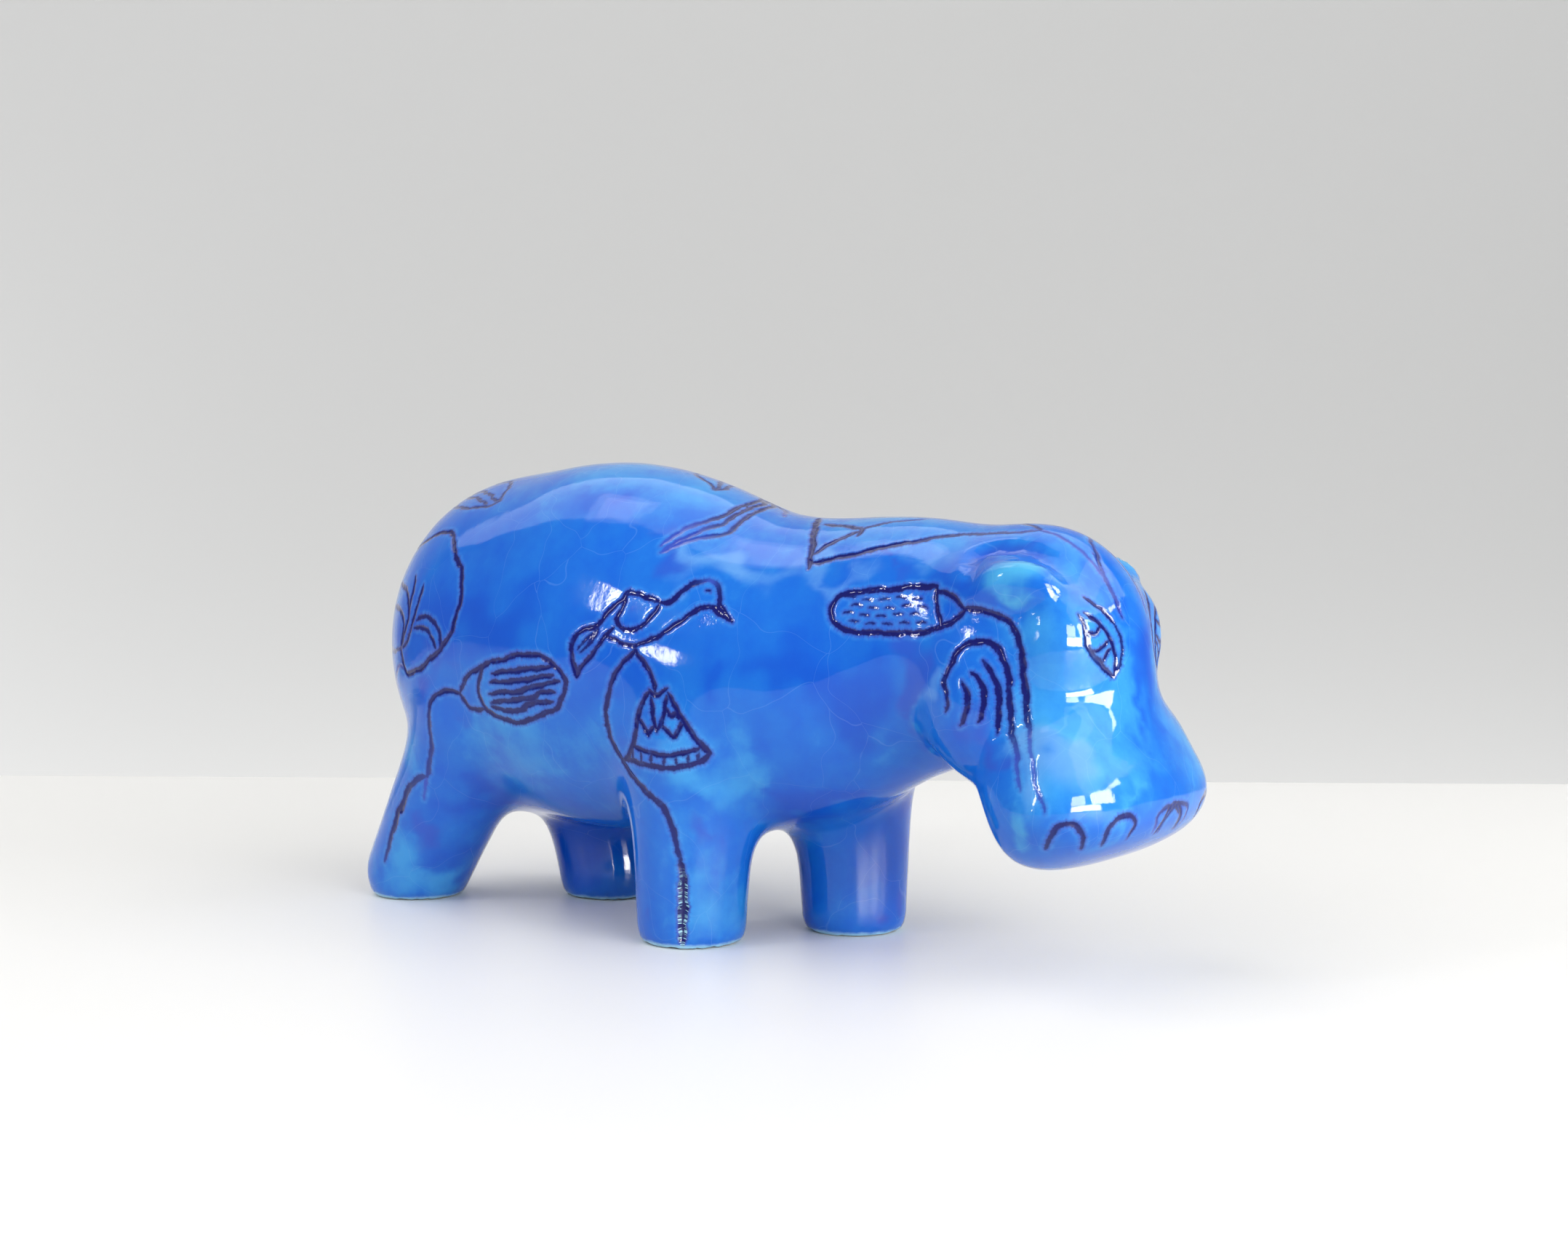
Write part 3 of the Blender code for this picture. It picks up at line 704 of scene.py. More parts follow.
@dataclass(frozen=True)
class RumpLeaf:
    """A round lotus leaf on the rump, whose ribs rise from its foot, and a closed leaf above."""

    outline: tuple[Spot, ...] = (
        (-3, 20), (0, 22), (5, 23.5), (10, 25.5), (14, 27), (17.3, 27.5), (20, 26.8), (23, 25),
        (26, 22.5), (30, 20), (32, 17.5), (33.5, 15), (34.3, 12), (34, 8.5), (33.3, 5.5), (31.5, 3),
        (29.5, 1), (26.5, -1), (24, -2.8), (21, -4), (18.5, -4.8), (16.5, -4.8), (15, -3),
        (14.3, -1), (14.5, 0.8))
    foot: tuple[Spot, ...] = ((-3, 1), (0, 0), (5, -0.5), (10, -0.3), (15, 1))
    ribs: tuple[tuple[Spot, ...], ...] = (
        ((15.3, 0.8), (17.3, 2.5), (18.8, 5), (19.5, 8), (20.3, 12), (20, 15.5)),
        ((14.3, 1), (15.8, 4), (16.8, 7), (16.9, 10), (16.5, 12.5), (15.9, 15.5), (14.8, 17.4)),
        ((5, 15), (10, 14.5), (13, 13.5), (15.5, 11.5), (16.8, 8.5)),
        ((5, 10), (9.5, 9.5), (12, 9), (14.3, 7.5), (15, 5), (14.3, 1)),
        ((20.9, 7.6), (23.5, 8.5), (26.5, 8), (29, 6), (30.2, 3.5), (30, 1.5)),
        ((20.3, 5.6), (22.5, 6), (25, 5.8), (27, 4), (28.8, 1.8)))
    closed_leaf: tuple[tuple[Spot, ...], ...] = (
        ((0, 36.5), (5, 38), (10, 38.6), (14, 38.6), (17.5, 37.5), (21, 35.8), (23.3, 34.5)),
        ((0, 34.6), (5, 35.8), (9.5, 36.5), (15, 36), (20, 35), (23.3, 34.5)),
        ((5, 35), (12, 35.1), (16.5, 34.5), (20, 33.8)),
        ((0, 33.5), (5, 33), (12.5, 32.8), (17.5, 33), (21.5, 33.5), (23.3, 34.5)))
    stem: tuple[Spot, ...] = ((15.4, -4), (12.5, -3.4), (9, -5.4), (5.8, -7.4), (2, -10))

    def strokes(self) -> list[Stroke]:
        """The leaf's rim, foot, ribs and stem, and the closed leaf near the spine."""
        lines = [line(*self.outline, width=(1.2, 1.3, 1.5, 1.7, 1.5)), line(*self.foot, width=1.1, ink=0.7)]
        lines += [line(*rib, width=1.3, ink=0.9) for rib in self.ribs]
        lines += [line(*side, width=1.1, ink=0.75) for side in self.closed_leaf]
        lines.append(line(*self.stem, width=(1.2, 0.8), ink=0.5))
        return lines


@dataclass(frozen=True)
class Face:
    """One half of the face: the eye, the brow, the cheek's nested arcs and the stalk before them."""

    lens_back: tuple[Spot, ...] = (
        (3.9, 18.8), (4.4, 17.6), (4.7, 16.2), (4.9, 14.5), (5.4, 12.5), (6.3, 11), (7.8, 9.6), (9.3, 8.3),
        (10.8, 7.2), (11.7, 6.6))
    lens_front: tuple[Spot, ...] = (
        (5, 18.9), (6.3, 18.2), (8.3, 17.1), (9.9, 15.4), (11, 13.6), (12, 11.5), (12.3, 9.4), (11.7, 6.6))
    bars: tuple[tuple[Spot, ...], ...] = (
        ((4.8, 15.2), (7, 15), (8.8, 16.6)),
        ((6.1, 11.8), (8, 11.8), (10.9, 13.6)),
        ((8.8, 8.8), (10.2, 11.3), (11.6, 12.2)))
    brow: tuple[Spot, ...] = ((5.9, 22.1), (7.5, 21.1), (9.5, 19.6), (11.2, 18), (12.6, 16.6))
    lid: tuple[Spot, ...] = ((12.3, 17), (13.6, 14), (14, 11.5), (13.3, 9), (12, 7))
    stalk: tuple[Spot, ...] = (
        (-14.3, 20.5), (-12, 20), (-10.5, 19.5), (-8.4, 18.2), (-7, 16.3), (-6.3, 13.8), (-6.1, 10.5),
        (-5.8, 7.2), (-5.6, 4.3), (-5.5, 0.1), (-5.8, -3.3), (-6.5, -6.2), (-6.8, -10.3),
        (-6.7, -14.5), (-6.1, -18.7))
    arch: tuple[Spot, ...] = (
        (-18.3, 0.3), (-18.2, 3.4), (-18.4, 6.8), (-17.2, 9.7), (-15.5, 12.6), (-13.4, 13.9), (-10.9, 13.6),
        (-9.5, 12), (-8.6, 9.3), (-8.3, 6.3), (-8.2, 3), (-8.2, -0.3), (-8.1, -2.8), (-8.4, -6.2),
        (-8.9, -10.3), (-9.2, -14.7))
    arcs: tuple[tuple[Spot, ...], ...] = (
        ((-12.4, 10.3), (-11.1, 8), (-10.3, 5.9), (-10, 3), (-10, -0.3), (-10.5, -4.1)),
        ((-14.3, 8), (-13.2, 6.8), (-12.6, 4.7), (-12.5, 2.2), (-12.8, -0.3), (-13.5, -1.8)),
        ((-15.9, 6.3), (-15.4, 4.3), (-15.1, 2.2), (-15.4, -0.3), (-16.3, -2.4)))
    nose_line: tuple[Spot, ...] = ((11.2, 31), (11.5, 28.6), (12.2, 25.2), (13.2, 22), (14.5, 18.4))

    def strokes(self) -> list[Stroke]:
        """The face's lines; those that run down the cheek thin out and redden."""
        stalk_widths = (1.4, 1.5, 1.6, 1.8, 1.7, 0.9, 0.8, 0.7)
        arch_widths = (1.0, 1.4, 1.6, 1.7, 1.5, 1.6, 1.3, 0.7)
        lines = [
            line(*self.lens_back, width=(0.9, 1.4, 1.6, 1.3), ink=(1, 0.8, 0.8, 1), depth=0.28),
            line(*self.lens_front, width=1.1, depth=0.26),
            line(*self.brow, width=(1.0, 1.2, 0.9), ink=0.95),
            line(*self.lid, width=0.8, ink=0.8),
            line(*self.stalk, width=stalk_widths, ink=(1, 1, 1, 1, 0.9, 0.2, 0.25, 0.5)),
            line(*self.arch, width=arch_widths, ink=(0.9, 1, 1, 1, 1, 0.9, 0.4, 0.25)),
            line(*self.nose_line, width=(0.8, 1.1, 0.7), ink=(0.5, 0.6, 0.35)),
        ]
        lines += [line(*arc, width=(1.0, 1.6, 1.6, 0.9)) for arc in self.arcs]
        lines += [line(*bar, width=0.9, depth=0.24) for bar in self.bars]
        return lines


@dataclass(frozen=True)
class LipArches:
    """The small arches along the upper lip that stand for its whisker pits."""

    side: tuple[tuple[Spot, ...], ...] = (
        ((-4.5, -26), (-4.7, -24.3), (-4.3, -22), (-3.2, -21.2), (-1.8, -20.9), (-0.3, -21.4), (0.8, -22.6),
         (1.4, -23.9), (1.8, -26.2)),
        ((5.9, -25.7), (6, -23.5), (6.8, -21.6), (8.2, -20.3), (9.7, -19.7), (11.4, -20), (12.8, -21.2),
         (12.4, -22.8), (11.7, -24.5)),
        ((20.5, -24.1), (21.6, -21.6), (23.2, -19.9), (24.7, -18.9), (26.6, -18.7), (28.5, -19.1),
         (29.3, -19.9), (28.7, -21.6), (27.6, -23.2)))
    middle: tuple[Spot, ...] = (
        (-4.5, -18.5), (-3.6, -15.2), (-1.8, -13.4), (0.6, -13), (2.6, -14), (3.8, -16), (4.2, -18.5))

    def strokes(self) -> list[Stroke]:
        """Three arches for one side, as they lie on the face's board."""
        lines = [line(*arch, width=(1.1, 1.4, 1.3, 0.9), ink=(0.8, 1, 0.9)) for arch in self.side[:2]]
        return lines + [line(*self.side[2], width=(0.8, 1.2, 0.7), ink=(0.6, 0.85, 0.4))]

    def front(self) -> list[Stroke]:
        """The arch under the nose, as it lies on the front board."""
        return [line(*self.middle, width=1.1, ink=0.85)]


# The glaze's clouds of colour, with painted light and shade


class Tint(Enum):
    """The clouds that show in the glaze, named by the attribute that holds each. Cobalt also carries
    painted shade, sky blue and turquoise painted light, and lavender a painted sheen.
    """

    COBALT_AND_PAINTED_SHADE = "cobalt"
    SKY_BLUE_AND_PAINTED_LIGHT = "sky"
    TURQUOISE_AND_PAINTED_LIGHT = "turquoise"
    LAVENDER_AND_PAINTED_SHEEN = "lavender"
    VIOLET = "violet"


@dataclass(frozen=True)
class Dab:
    """A soft patch of one tint: where it lies on a board, its half-sizes, strength and depth."""

    tint: Tint
    board: Board
    spot: Spot
    radii: Spot
    strength: float
    depth: float = 26.0

    def amount(self, figure: Figure, points: np.ndarray) -> np.ndarray:
        """How strong the patch is at each point.

        Args:
            figure: the form it lies on.
            points: positions on the skin.

        Returns:
            strength times s^2 (3 - 2s), where s falls from 1 at the middle to 0 at the rim of
            an ellipsoid whose third half-size is depth.
        """
        right, up, outward = self.board.axes()
        middle = replace(self.board, mirror=False).carry(figure, np.array([self.spot], float))[0]
        offset = points * np.array([1, -1, 1]) - middle if self.board.mirror else points - middle
        across = offset @ right / self.radii[0]
        upward = offset @ up / self.radii[1]
        inward = offset @ outward / self.depth
        share = np.clip(1 - np.sqrt(across ** 2 + upward ** 2 + inward ** 2), 0, 1)
        return self.strength * share * share * (3 - 2 * share)


@dataclass(frozen=True)
class Fold:
    """A soft hollow pressed into the clay along a line, or a swell where its depth is negative.

    half is its half-width, and tint, as strong as tint_share, is the colour laid over it: pooled glaze in a
    crease, painted shade in a hollow and painted light on a swell.
    """

    board: Board
    knots: tuple[Spot, ...]
    half: float
    depth: float
    tint: Tint
    tint_share: float

    def hollow(self, figure: Figure, points: np.ndarray) -> np.ndarray:
        """Share of the full depth at each point: t (1 - (gap/half)^2)^2, with t 0 at both ends.

        Args:
            figure: the form it is pressed into.
            points: positions on the skin.

        Returns:
            One share a point.
        """
        path = self.board.carry(figure, line(*self.knots).trace(2.0))
        gap = np.linalg.norm(points[:, None] - path[None], axis=-1)
        near = gap.argmin(1)
        taper = np.sin(math.pi * (near + 0.5) / len(path)) ** 0.7
        closest = gap[np.arange(len(points)), near]
        return taper * np.clip(1 - (closest / self.half) ** 2, 0, 1) ** 2


# The skin


def refined(points: np.ndarray, faces: np.ndarray, wanted: np.ndarray) -> tuple[np.ndarray, np.ndarray]:
    """Triangles cut at the middles of their marked sides.

    Args:
        points: corner positions.
        faces: three corners a row.
        wanted: for each side of each face, from corner k to k + 1, whether it should be cut.

    Returns:
        The points with the middles added, and the new faces: one cut side gives two triangles,
        two give three and three give four, so that neighbours always meet.
    """
    sides = np.stack([faces, np.roll(faces, -1, 1)], -1)
    keys = np.sort(sides, -1).reshape(-1, 2)
    unique, place = np.unique(keys, axis=0, return_inverse=True)
    place = place.reshape(-1)
    cut = np.zeros(len(unique), bool)
    cut[place[wanted.reshape(-1)]] = True
    number = np.full(len(unique), -1)
    number[cut] = len(points) + np.arange(cut.sum())
    middles = points[unique[cut]].mean(1)
    middle = number[place].reshape(-1, 3)
    count = (middle >= 0).sum(1)
    made = [faces[count == 0]]
    for turn in range(3):
        corner = np.roll(faces, -turn, 1)
        half = np.roll(middle, -turn, 1)
        one = (count == 1) & (half[:, 0] >= 0)
        v0, v1, v2 = corner[one].T
        a = half[one, 0]
        made += [np.stack(trio, 1) for trio in ((v0, a, v2), (a, v1, v2))]
        two = (count == 2) & (half[:, 2] < 0)
        v0, v1, v2 = corner[two].T
        a, b = half[two, 0], half[two, 1]
        made += [np.stack(trio, 1) for trio in ((a, v1, b), (v0, a, b), (v0, b, v2))]
    full = count == 3
    v0, v1, v2 = faces[full].T
    a, b, c = middle[full].T
    made += [np.stack(trio, 1) for trio in ((v0, a, c), (a, v1, b), (c, b, v2), (a, b, c))]
    return np.concatenate([points, middles]), np.concatenate(made)


@dataclass
class Skin:
    """The animal's skin: even triangles on the rounded form, finer and carved along the lines.

    Sizes are in millimetres. Each of the bands gives a distance from the lines and the longest
    side that a triangle within it may keep. Each of the swells gives the wavelength, seed and
    share of the unevenness, and each of the drifts how far, how widely and with which seeds the
    clouds are pushed about. Below ground the lift and the lines fade out to the flat sole.
    """

    figure: Figure
    engraving: Engraving
    folds: list[Fold]
    dabs: list[Dab]
    voxel: float = 1.75
    relax_rounds: int = 5
    bands: tuple[tuple[float, float], ...] = ((2.0, 1.2), (1.0, 0.74), (0.52, 0.54))
    unevenness: float = 0.06
    swells: tuple[tuple[float, float, float], ...] = ((34, 1.0, 1.0), (15, 4.0, 0.5))
    drifts: tuple[tuple[float, float, tuple[float, ...]], ...] = (
        (4.5, 23, (2.0, 5.0, 9.0)), (2.0, 9, (3.0, 6.0, 8.0)))
    ground: float = 3.0
    sole: float = 0.05

    def fused(self, node: bpy.types.Object) -> tuple[np.ndarray, np.ndarray]:
        """The CAD node's form as small even triangles.

        Args:
            node: the CAD node.

        Returns:
            Points in millimetres and faces. A copy is merged, then remeshed by voxels.
        """
        data = node.data.copy()
        mesh = bmesh.new()
        mesh.from_mesh(data)
        bmesh.ops.remove_doubles(mesh, verts=mesh.verts, dist=1e-6)
        mesh.to_mesh(data)
        mesh.free()
        copy = bpy.data.objects.new("fused_copy", data)
        bpy.context.scene.collection.objects.link(copy)
        remesh = copy.modifiers.new("fuse", "REMESH")
        remesh.mode = "VOXEL"
        remesh.voxel_size = self.voxel * MM
        graph = bpy.context.evaluated_depsgraph_get()
        found = bpy.data.meshes.new_from_object(copy.evaluated_get(graph))
        found.calc_loop_triangles()
        points = np.empty(len(found.vertices) * 3)
        found.vertices.foreach_get("co", points)
        faces = np.empty(len(found.loop_triangles) * 3, np.int64)
        found.loop_triangles.foreach_get("vertices", faces)
        bpy.data.objects.remove(copy)
        return points.reshape(-1, 3) / MM, faces.reshape(-1, 3)

    def relaxed(self, points: np.ndarray, faces: np.ndarray, rounds: int) -> np.ndarray:
        """Points evened out along the skin.

        Args:
            points: positions on the skin.
            faces: three corners a row.
            rounds: how often each point goes half way to the mean of its neighbours.

        Returns:
            The moved points, settled on the form again after each round.
        """
        start = faces.ravel()
        end = np.roll(faces, -1, 1).ravel()
        number = np.bincount(start, minlength=len(points)) + np.bincount(end, minlength=len(points))
        for _ in range(rounds):
            mean = np.empty_like(points)
            for k in range(3):
                total = np.bincount(start, points[end, k], len(points))
                total += np.bincount(end, points[start, k], len(points))
                mean[:, k] = total / np.maximum(number, 1)
            points = self.figure.settle(0.5 * points + 0.5 * mean, 1)
        return points

    def built(self, node: bpy.types.Object, material: bpy.types.Material) -> bpy.types.Object:
        """The finished skin, glazed.

        Args:
            node: the CAD node that it stands for.
            material: the glaze.

        Returns:
            The skin as an object at the origin.
        """
        points, faces = self.fused(node)
        points = self.figure.settle(points, 3)
        points = self.relaxed(points, faces, self.relax_rounds)
        log.info("plain skin: %d triangles", len(faces))
        for band, longest in self.bands:
            edge = self.engraving.marks(points).edge
            far = np.roll(faces, -1, 1)
            length = np.linalg.norm(points[faces] - points[far], axis=-1)
            wanted = (np.minimum(edge[faces], edge[far]) < band) & (length > longest)
            points, faces = refined(points, faces, wanted)
            points = self.figure.settle(points, 1)
            log.info("refined skin: %d triangles", len(faces))
        points = self.relaxed(points, faces, 1)
        marks = self.engraving.marks(points)
        normals = unit(self.figure.slope(points))
        sink = marks.groove.copy()
        bare = {tint: np.ones(len(points)) for tint in Tint}
        for fold in self.folds:
            share = fold.hollow(self.figure, points)
            sink += fold.depth * share
            bare[fold.tint] *= 1 - fold.tint_share * share
        swell = sum(share * ripple(points, length, seed) for length, seed, share in self.swells)
        lift = self.unevenness * (swell - 0.8)
        grounded = np.clip(points[:, 2] / self.ground, 0, 1)
        shaped = points + normals * ((lift - sink) * grounded)[:, None]
        shaped[shaped[:, 2] < self.sole, 2] = 0
        data = bpy.data.meshes.new("glazed_skin")
        data.from_pydata((shaped * MM).astype(np.float32), [], faces)
        data.shade_smooth()
        for name in ("edge", "along", "ink"):
            self.store(data, name, getattr(marks, name))
        wandered = points.copy()
        for reach, length, seeds in self.drifts:
            wandered += reach * np.stack([ripple(points, length, seed) for seed in seeds], -1)
        for dab in self.dabs:
            bare[dab.tint] *= 1 - dab.amount(self.figure, wandered)
        for tint, left in bare.items():
            self.store(data, tint.value, 1 - left)
        data.materials.append(material)
        piece = bpy.data.objects.new("glazed_skin", data)
        bpy.context.scene.collection.objects.link(piece)
        return piece

    @staticmethod
    def store(data: bpy.types.Mesh, name: str, values: np.ndarray) -> None:
        """Keep one number a vertex as a named attribute."""
        layer = data.attributes.new(name, "FLOAT", "POINT")
        layer.data.foreach_set("value", values.astype(np.float32))


# The finish


def linear(code: str) -> tuple[float, float, float, float]:
    """A colour code such as 2069d7 as linear red, green, blue and a full alpha."""
    parts = [int(code[k:k + 2], 16) / 255 for k in (0, 2, 4)]
    spread = [v / 12.92 if v <= 0.04045 else ((v + 0.055) / 1.055) ** 2.4 for v in parts]
    return (*spread, 1.0)


class Wire:
    """A number socket whose Python operators add Math nodes."""

    def __init__(self, bench: Bench, socket: bpy.types.NodeSocket) -> None:
        """Wrap an output socket of a bench's node."""
        self.bench = bench
        self.socket = socket

    def _with(self, operation: str, first: object, second: object) -> Wire:
        """A Math node's result, with its inputs in order."""
        node = self.bench.node("ShaderNodeMath", {"operation": operation}, {0: first, 1: second})
        return Wire(self.bench, node.outputs[0])

    def __add__(self, other: object) -> Wire:
        """Sum."""
        return self._with("ADD", self, other)

    def __radd__(self, other: object) -> Wire:
        """Sum, the number first."""
        return self._with("ADD", other, self)

    def __sub__(self, other: object) -> Wire:
        """Difference."""
        return self._with("SUBTRACT", self, other)

    def __rsub__(self, other: object) -> Wire:
        """Difference, the number first."""
        return self._with("SUBTRACT", other, self)

    def __mul__(self, other: object) -> Wire:
        """Product."""
        return self._with("MULTIPLY", self, other)

    def clamped(self) -> Wire:
        """Held between 0 and 1."""
        node = self.bench.node("ShaderNodeClamp", {}, {"Value": self, "Min": 0.0, "Max": 1.0})
        return Wire(self.bench, node.outputs[0])

    def step(self, low: float, high: float) -> Wire:
        """A smooth step from 0 at low to 1 at high.

        Args:
            low: where the result is 0.
            high: where it is 1; it may be less than low, and the step then falls.

        Returns:
            t^2 (3 - 2t), where t runs evenly from low to high.
        """
        start, end = (0.0, 1.0) if high > low else (1.0, 0.0)
        values = {
            "Value": self, "From Min": min(low, high), "From Max": max(low, high),
            "To Min": start, "To Max": end}
        node = self.bench.node("ShaderNodeMapRange", {"interpolation_type": "SMOOTHSTEP"}, values)
        return Wire(self.bench, node.outputs[0])


class Bench:
    """Where one material's nodes are put together."""

    def __init__(self, name: str) -> None:
        """Start a material with nothing but its output and a Principled shader."""
        self.material = bpy.data.materials.new(name)
        self.material.use_nodes = True
        self.tree = self.material.node_tree
        self.shader = self.tree.nodes["Principled BSDF"]

    def feed(self, socket: bpy.types.NodeSocket, value: object) -> None:
        """Set a socket to a value, or link a wire or an output to it."""
        source = value.socket if isinstance(value, Wire) else value
        if isinstance(source, bpy.types.NodeSocket):
            self.tree.links.new(source, socket)
        else:
            socket.default_value = source

    def node(self, kind: str, settings: dict[str, object], values: dict[object, object]) -> bpy.types.Node:
        """Add a node.

        Args:
            kind: its Blender type.
            settings: its properties, set first; stops holds a ramp's positions and colours.
            values: a number, colour, wire or socket for each input, by name or place.

        Returns:
            The node.
        """
        made = self.tree.nodes.new(kind)
        for name, value in settings.items():
            if name == "stops":
                ramp = made.color_ramp.elements
                while len(ramp) < len(value):
                    ramp.new(0.5)
                for element, (place, colour) in zip(ramp, value):
                    element.position = place
                    element.color = colour
            else:
                setattr(made, name, value)
        for name, value in values.items():
            self.feed(made.inputs[name], value)
        return made

    def attribute(self, name: str) -> Wire:
        """A number kept on the mesh."""
        return Wire(self, self.node("ShaderNodeAttribute", {"attribute_name": name}, {}).outputs["Fac"])

    def noise(self, place: bpy.types.NodeSocket, size: float, detail: float = 2.0,
              rough: float = 0.5) -> Wire:
        """Cloudy noise about 0.

        Args:
            place: the position in millimetres.
            size: how far apart its swells are, in millimetres.
            detail: how many finer layers it has.
            rough: how strong these are.

        Returns:
            Values from about -0.5 to 0.5.
        """
        values = {"Vector": place, "Scale": 1 / size, "Detail": detail, "Roughness": rough}
        return Wire(self, self.node("ShaderNodeTexNoise", {}, values).outputs["Fac"]) - 0.5

    def mix(self, share: object, first: object, second: object) -> bpy.types.NodeSocket:
        """A colour between two: the first at share 0 and the second at share 1."""
        values = {0: share, 6: first, 7: second}
        return self.node("ShaderNodeMix", {"data_type": "RGBA"}, values).outputs[2]

    def scaled(self, vector: object, factors: Point) -> bpy.types.NodeSocket:
        """A vector times three factors."""
        values = {0: vector, 1: factors}
        return self.node("ShaderNodeVectorMath", {"operation": "MULTIPLY"}, values).outputs[0]


@dataclass(frozen=True)
class BlueGlaze:
    """Glossy copper-blue glaze, deep where it pooled and pale where it ran thin, with painted light and
    painted shade carried in on the skin's tints.
    """

    deep: str = "0a52ba"
    middle: str = "1463bf"
    light: str = "3188ca"
    turquoise: str = "4aa6ca"
    lavender: str = "6094cd"
    violet: str = "2846ae"
    cobalt: str = "0a44b0"
    ink: str = "0a0e58"
    thin_ink: str = "30309a"
    halo: str = "52a6dc"
    rim: str = "a9dcec"
    clay: str = "a98f7c"

    def made(self) -> bpy.types.Material:
        """The glaze as a material.

        Returns:
            The material: clouds and downward runs of colour, painted light and shade from the
            skin's tints, pigment in the cut lines with ragged edges, a pale rim over bare soles,
            fine crazing and a rippled gloss.
        """
        bench = Bench("blue_glaze")
        place = bench.scaled(bench.node("ShaderNodeTexCoord", {}, {}).outputs["Object"], (1000, 1000, 1000))
        height = Wire(bench, bench.node("ShaderNodeSeparateXYZ", {}, {0: place}).outputs[2])
        cloud = bench.noise(place, 26, 3)
        patch = bench.noise(place, 9, 4, 0.6)
        grain = bench.noise(place, 2.2, 4, 0.65)
        run = bench.noise(bench.scaled(place, (1, 1, 0.22)), 6, 3)
        tide = bench.noise(place, 17, 2).step(0.01, 0.05)
        tone = 0.34 + cloud * 0.9 + patch * 0.5 + run * 0.6 + grain * 0.3 + tide * 0.08
        # Sky blue lightens and cobalt darkens the tone: thinner and deeper glaze, and painted light and
        # painted shade.
        tone = tone + bench.attribute(Tint.SKY_BLUE_AND_PAINTED_LIGHT.value) * 0.55 - bench.attribute(Tint.COBALT_AND_PAINTED_SHADE.value) * 0.5
        stops = [(0.0, linear(self.deep)), (0.45, linear(self.middle)), (1.0, linear(self.light))]
        colour = bench.node("ShaderNodeValToRGB", {"stops": stops}, {0: tone.clamped()}).outputs[0]
        # Cobalt lays on pooled glaze and painted shade, turquoise and lavender glaze colour and painted
        # light, violet pooled glaze.
        layers = (
            (Tint.COBALT_AND_PAINTED_SHADE, self.cobalt, 0.15, 0.9, 0.6),
            (Tint.TURQUOISE_AND_PAINTED_LIGHT, self.turquoise, 0.12, 0.8, 0.8),
            (Tint.LAVENDER_AND_PAINTED_SHEEN, self.lavender, 0.12, 0.85, 0.7),
            (Tint.VIOLET, self.violet, 0.12, 0.85, 0.7),
        )
        for tint, code, low, high, strength in layers:
            spread = bench.attribute(tint.value) + patch * 0.25 + cloud * 0.2 + grain * 0.08
            colour = bench.mix(spread.step(low, high) * strength, colour, linear(code))
        colour = self.lined(bench, place, colour, grain)
        rim = (height + patch * 1.2 + grain * 0.8).step(1.5, 0.5)
        colour = bench.mix(rim * 0.75, colour, linear(self.rim))
        bare = height.step(0.2, 0.05)
        colour = bench.mix(bare, colour, linear(self.clay))
        bench.feed(bench.shader.inputs["Base Color"], colour)
        bench.feed(bench.shader.inputs["Roughness"], 0.06 + bare * 0.7)
        bench.shader.inputs["IOR"].default_value = 1.44
        pitted = bench.noise(place, 22, 2).step(0.05, 0.2)
        relief = bench.noise(place, 0.6, 2, 0.6) * (pitted * 0.022 + 0.005)
        relief = relief + bench.noise(place, 3.2, 2) * 0.022 + bench.noise(place, 9, 1) * 0.05
        bump = bench.node("ShaderNodeBump", {}, {"Strength": 1.0, "Distance": MM, "Height": relief})
        bench.feed(bench.shader.inputs["Normal"], bump.outputs[0])
        return bench.material

    def lined(self, bench: Bench, place: bpy.types.NodeSocket, colour: object,
              grain: Wire) -> bpy.types.NodeSocket:
        """The glaze's colour with crazing, a pale halo and the pigment of the lines over it.

        Args:
            bench: where the nodes go.
            place: the position in millimetres.
            colour: the colour of the glaze.
            grain: its finest clouds.

        Returns:
            The colour with the lines on it. Hairs are one-dimensional noise of the length
            along a line, so each runs straight out from its rim. Pale teeth break into the
            lines whose ink is above 1: partly chipped glaze, partly painted glints.
        """
        edge = bench.attribute("edge")
        ink = bench.attribute("ink")
        along = bench.attribute("along")
        hair_node = bench.node(
            "ShaderNodeTexNoise", {"noise_dimensions": "1D"}, {"W": along, "Scale": 1.5, "Detail": 3.0})
        hair = (Wire(bench, hair_node.outputs["Fac"]) - 0.42).clamped() * 1.5
        ragged = bench.noise(place, 0.9, 2, 0.6) * 0.5
        warped = bench.node("ShaderNodeVectorMath", {"operation": "ADD"}, {
            0: bench.scaled(place, (1 / 16, 1 / 16, 1 / 24)),
            1: bench.node("ShaderNodeTexNoise", {}, {"Vector": place, "Scale": 0.05}).outputs["Color"]})
        cells = bench.node("ShaderNodeTexVoronoi", {"feature": "DISTANCE_TO_EDGE"}, {
            "Vector": warped.outputs[0], "Scale": 1.0})
        craze = Wire(bench, cells.outputs["Distance"]).step(0.006, 0.001)
        colour = bench.mix(craze * 0.055, colour, linear(self.rim))
        halo = edge.step(1.5, 0.2) * (0.2 + grain * 0.8)
        colour = bench.mix(halo.clamped(), colour, linear(self.halo))
        wash = (edge + ragged - hair * 0.8).step(0.75, 0.05) * (0.2 + ink * 0.35)
        colour = bench.mix(wash.clamped(), colour, linear(self.thin_ink))
        body = (edge + ragged * 0.5 - hair * 0.35).step(0.22, -0.2)
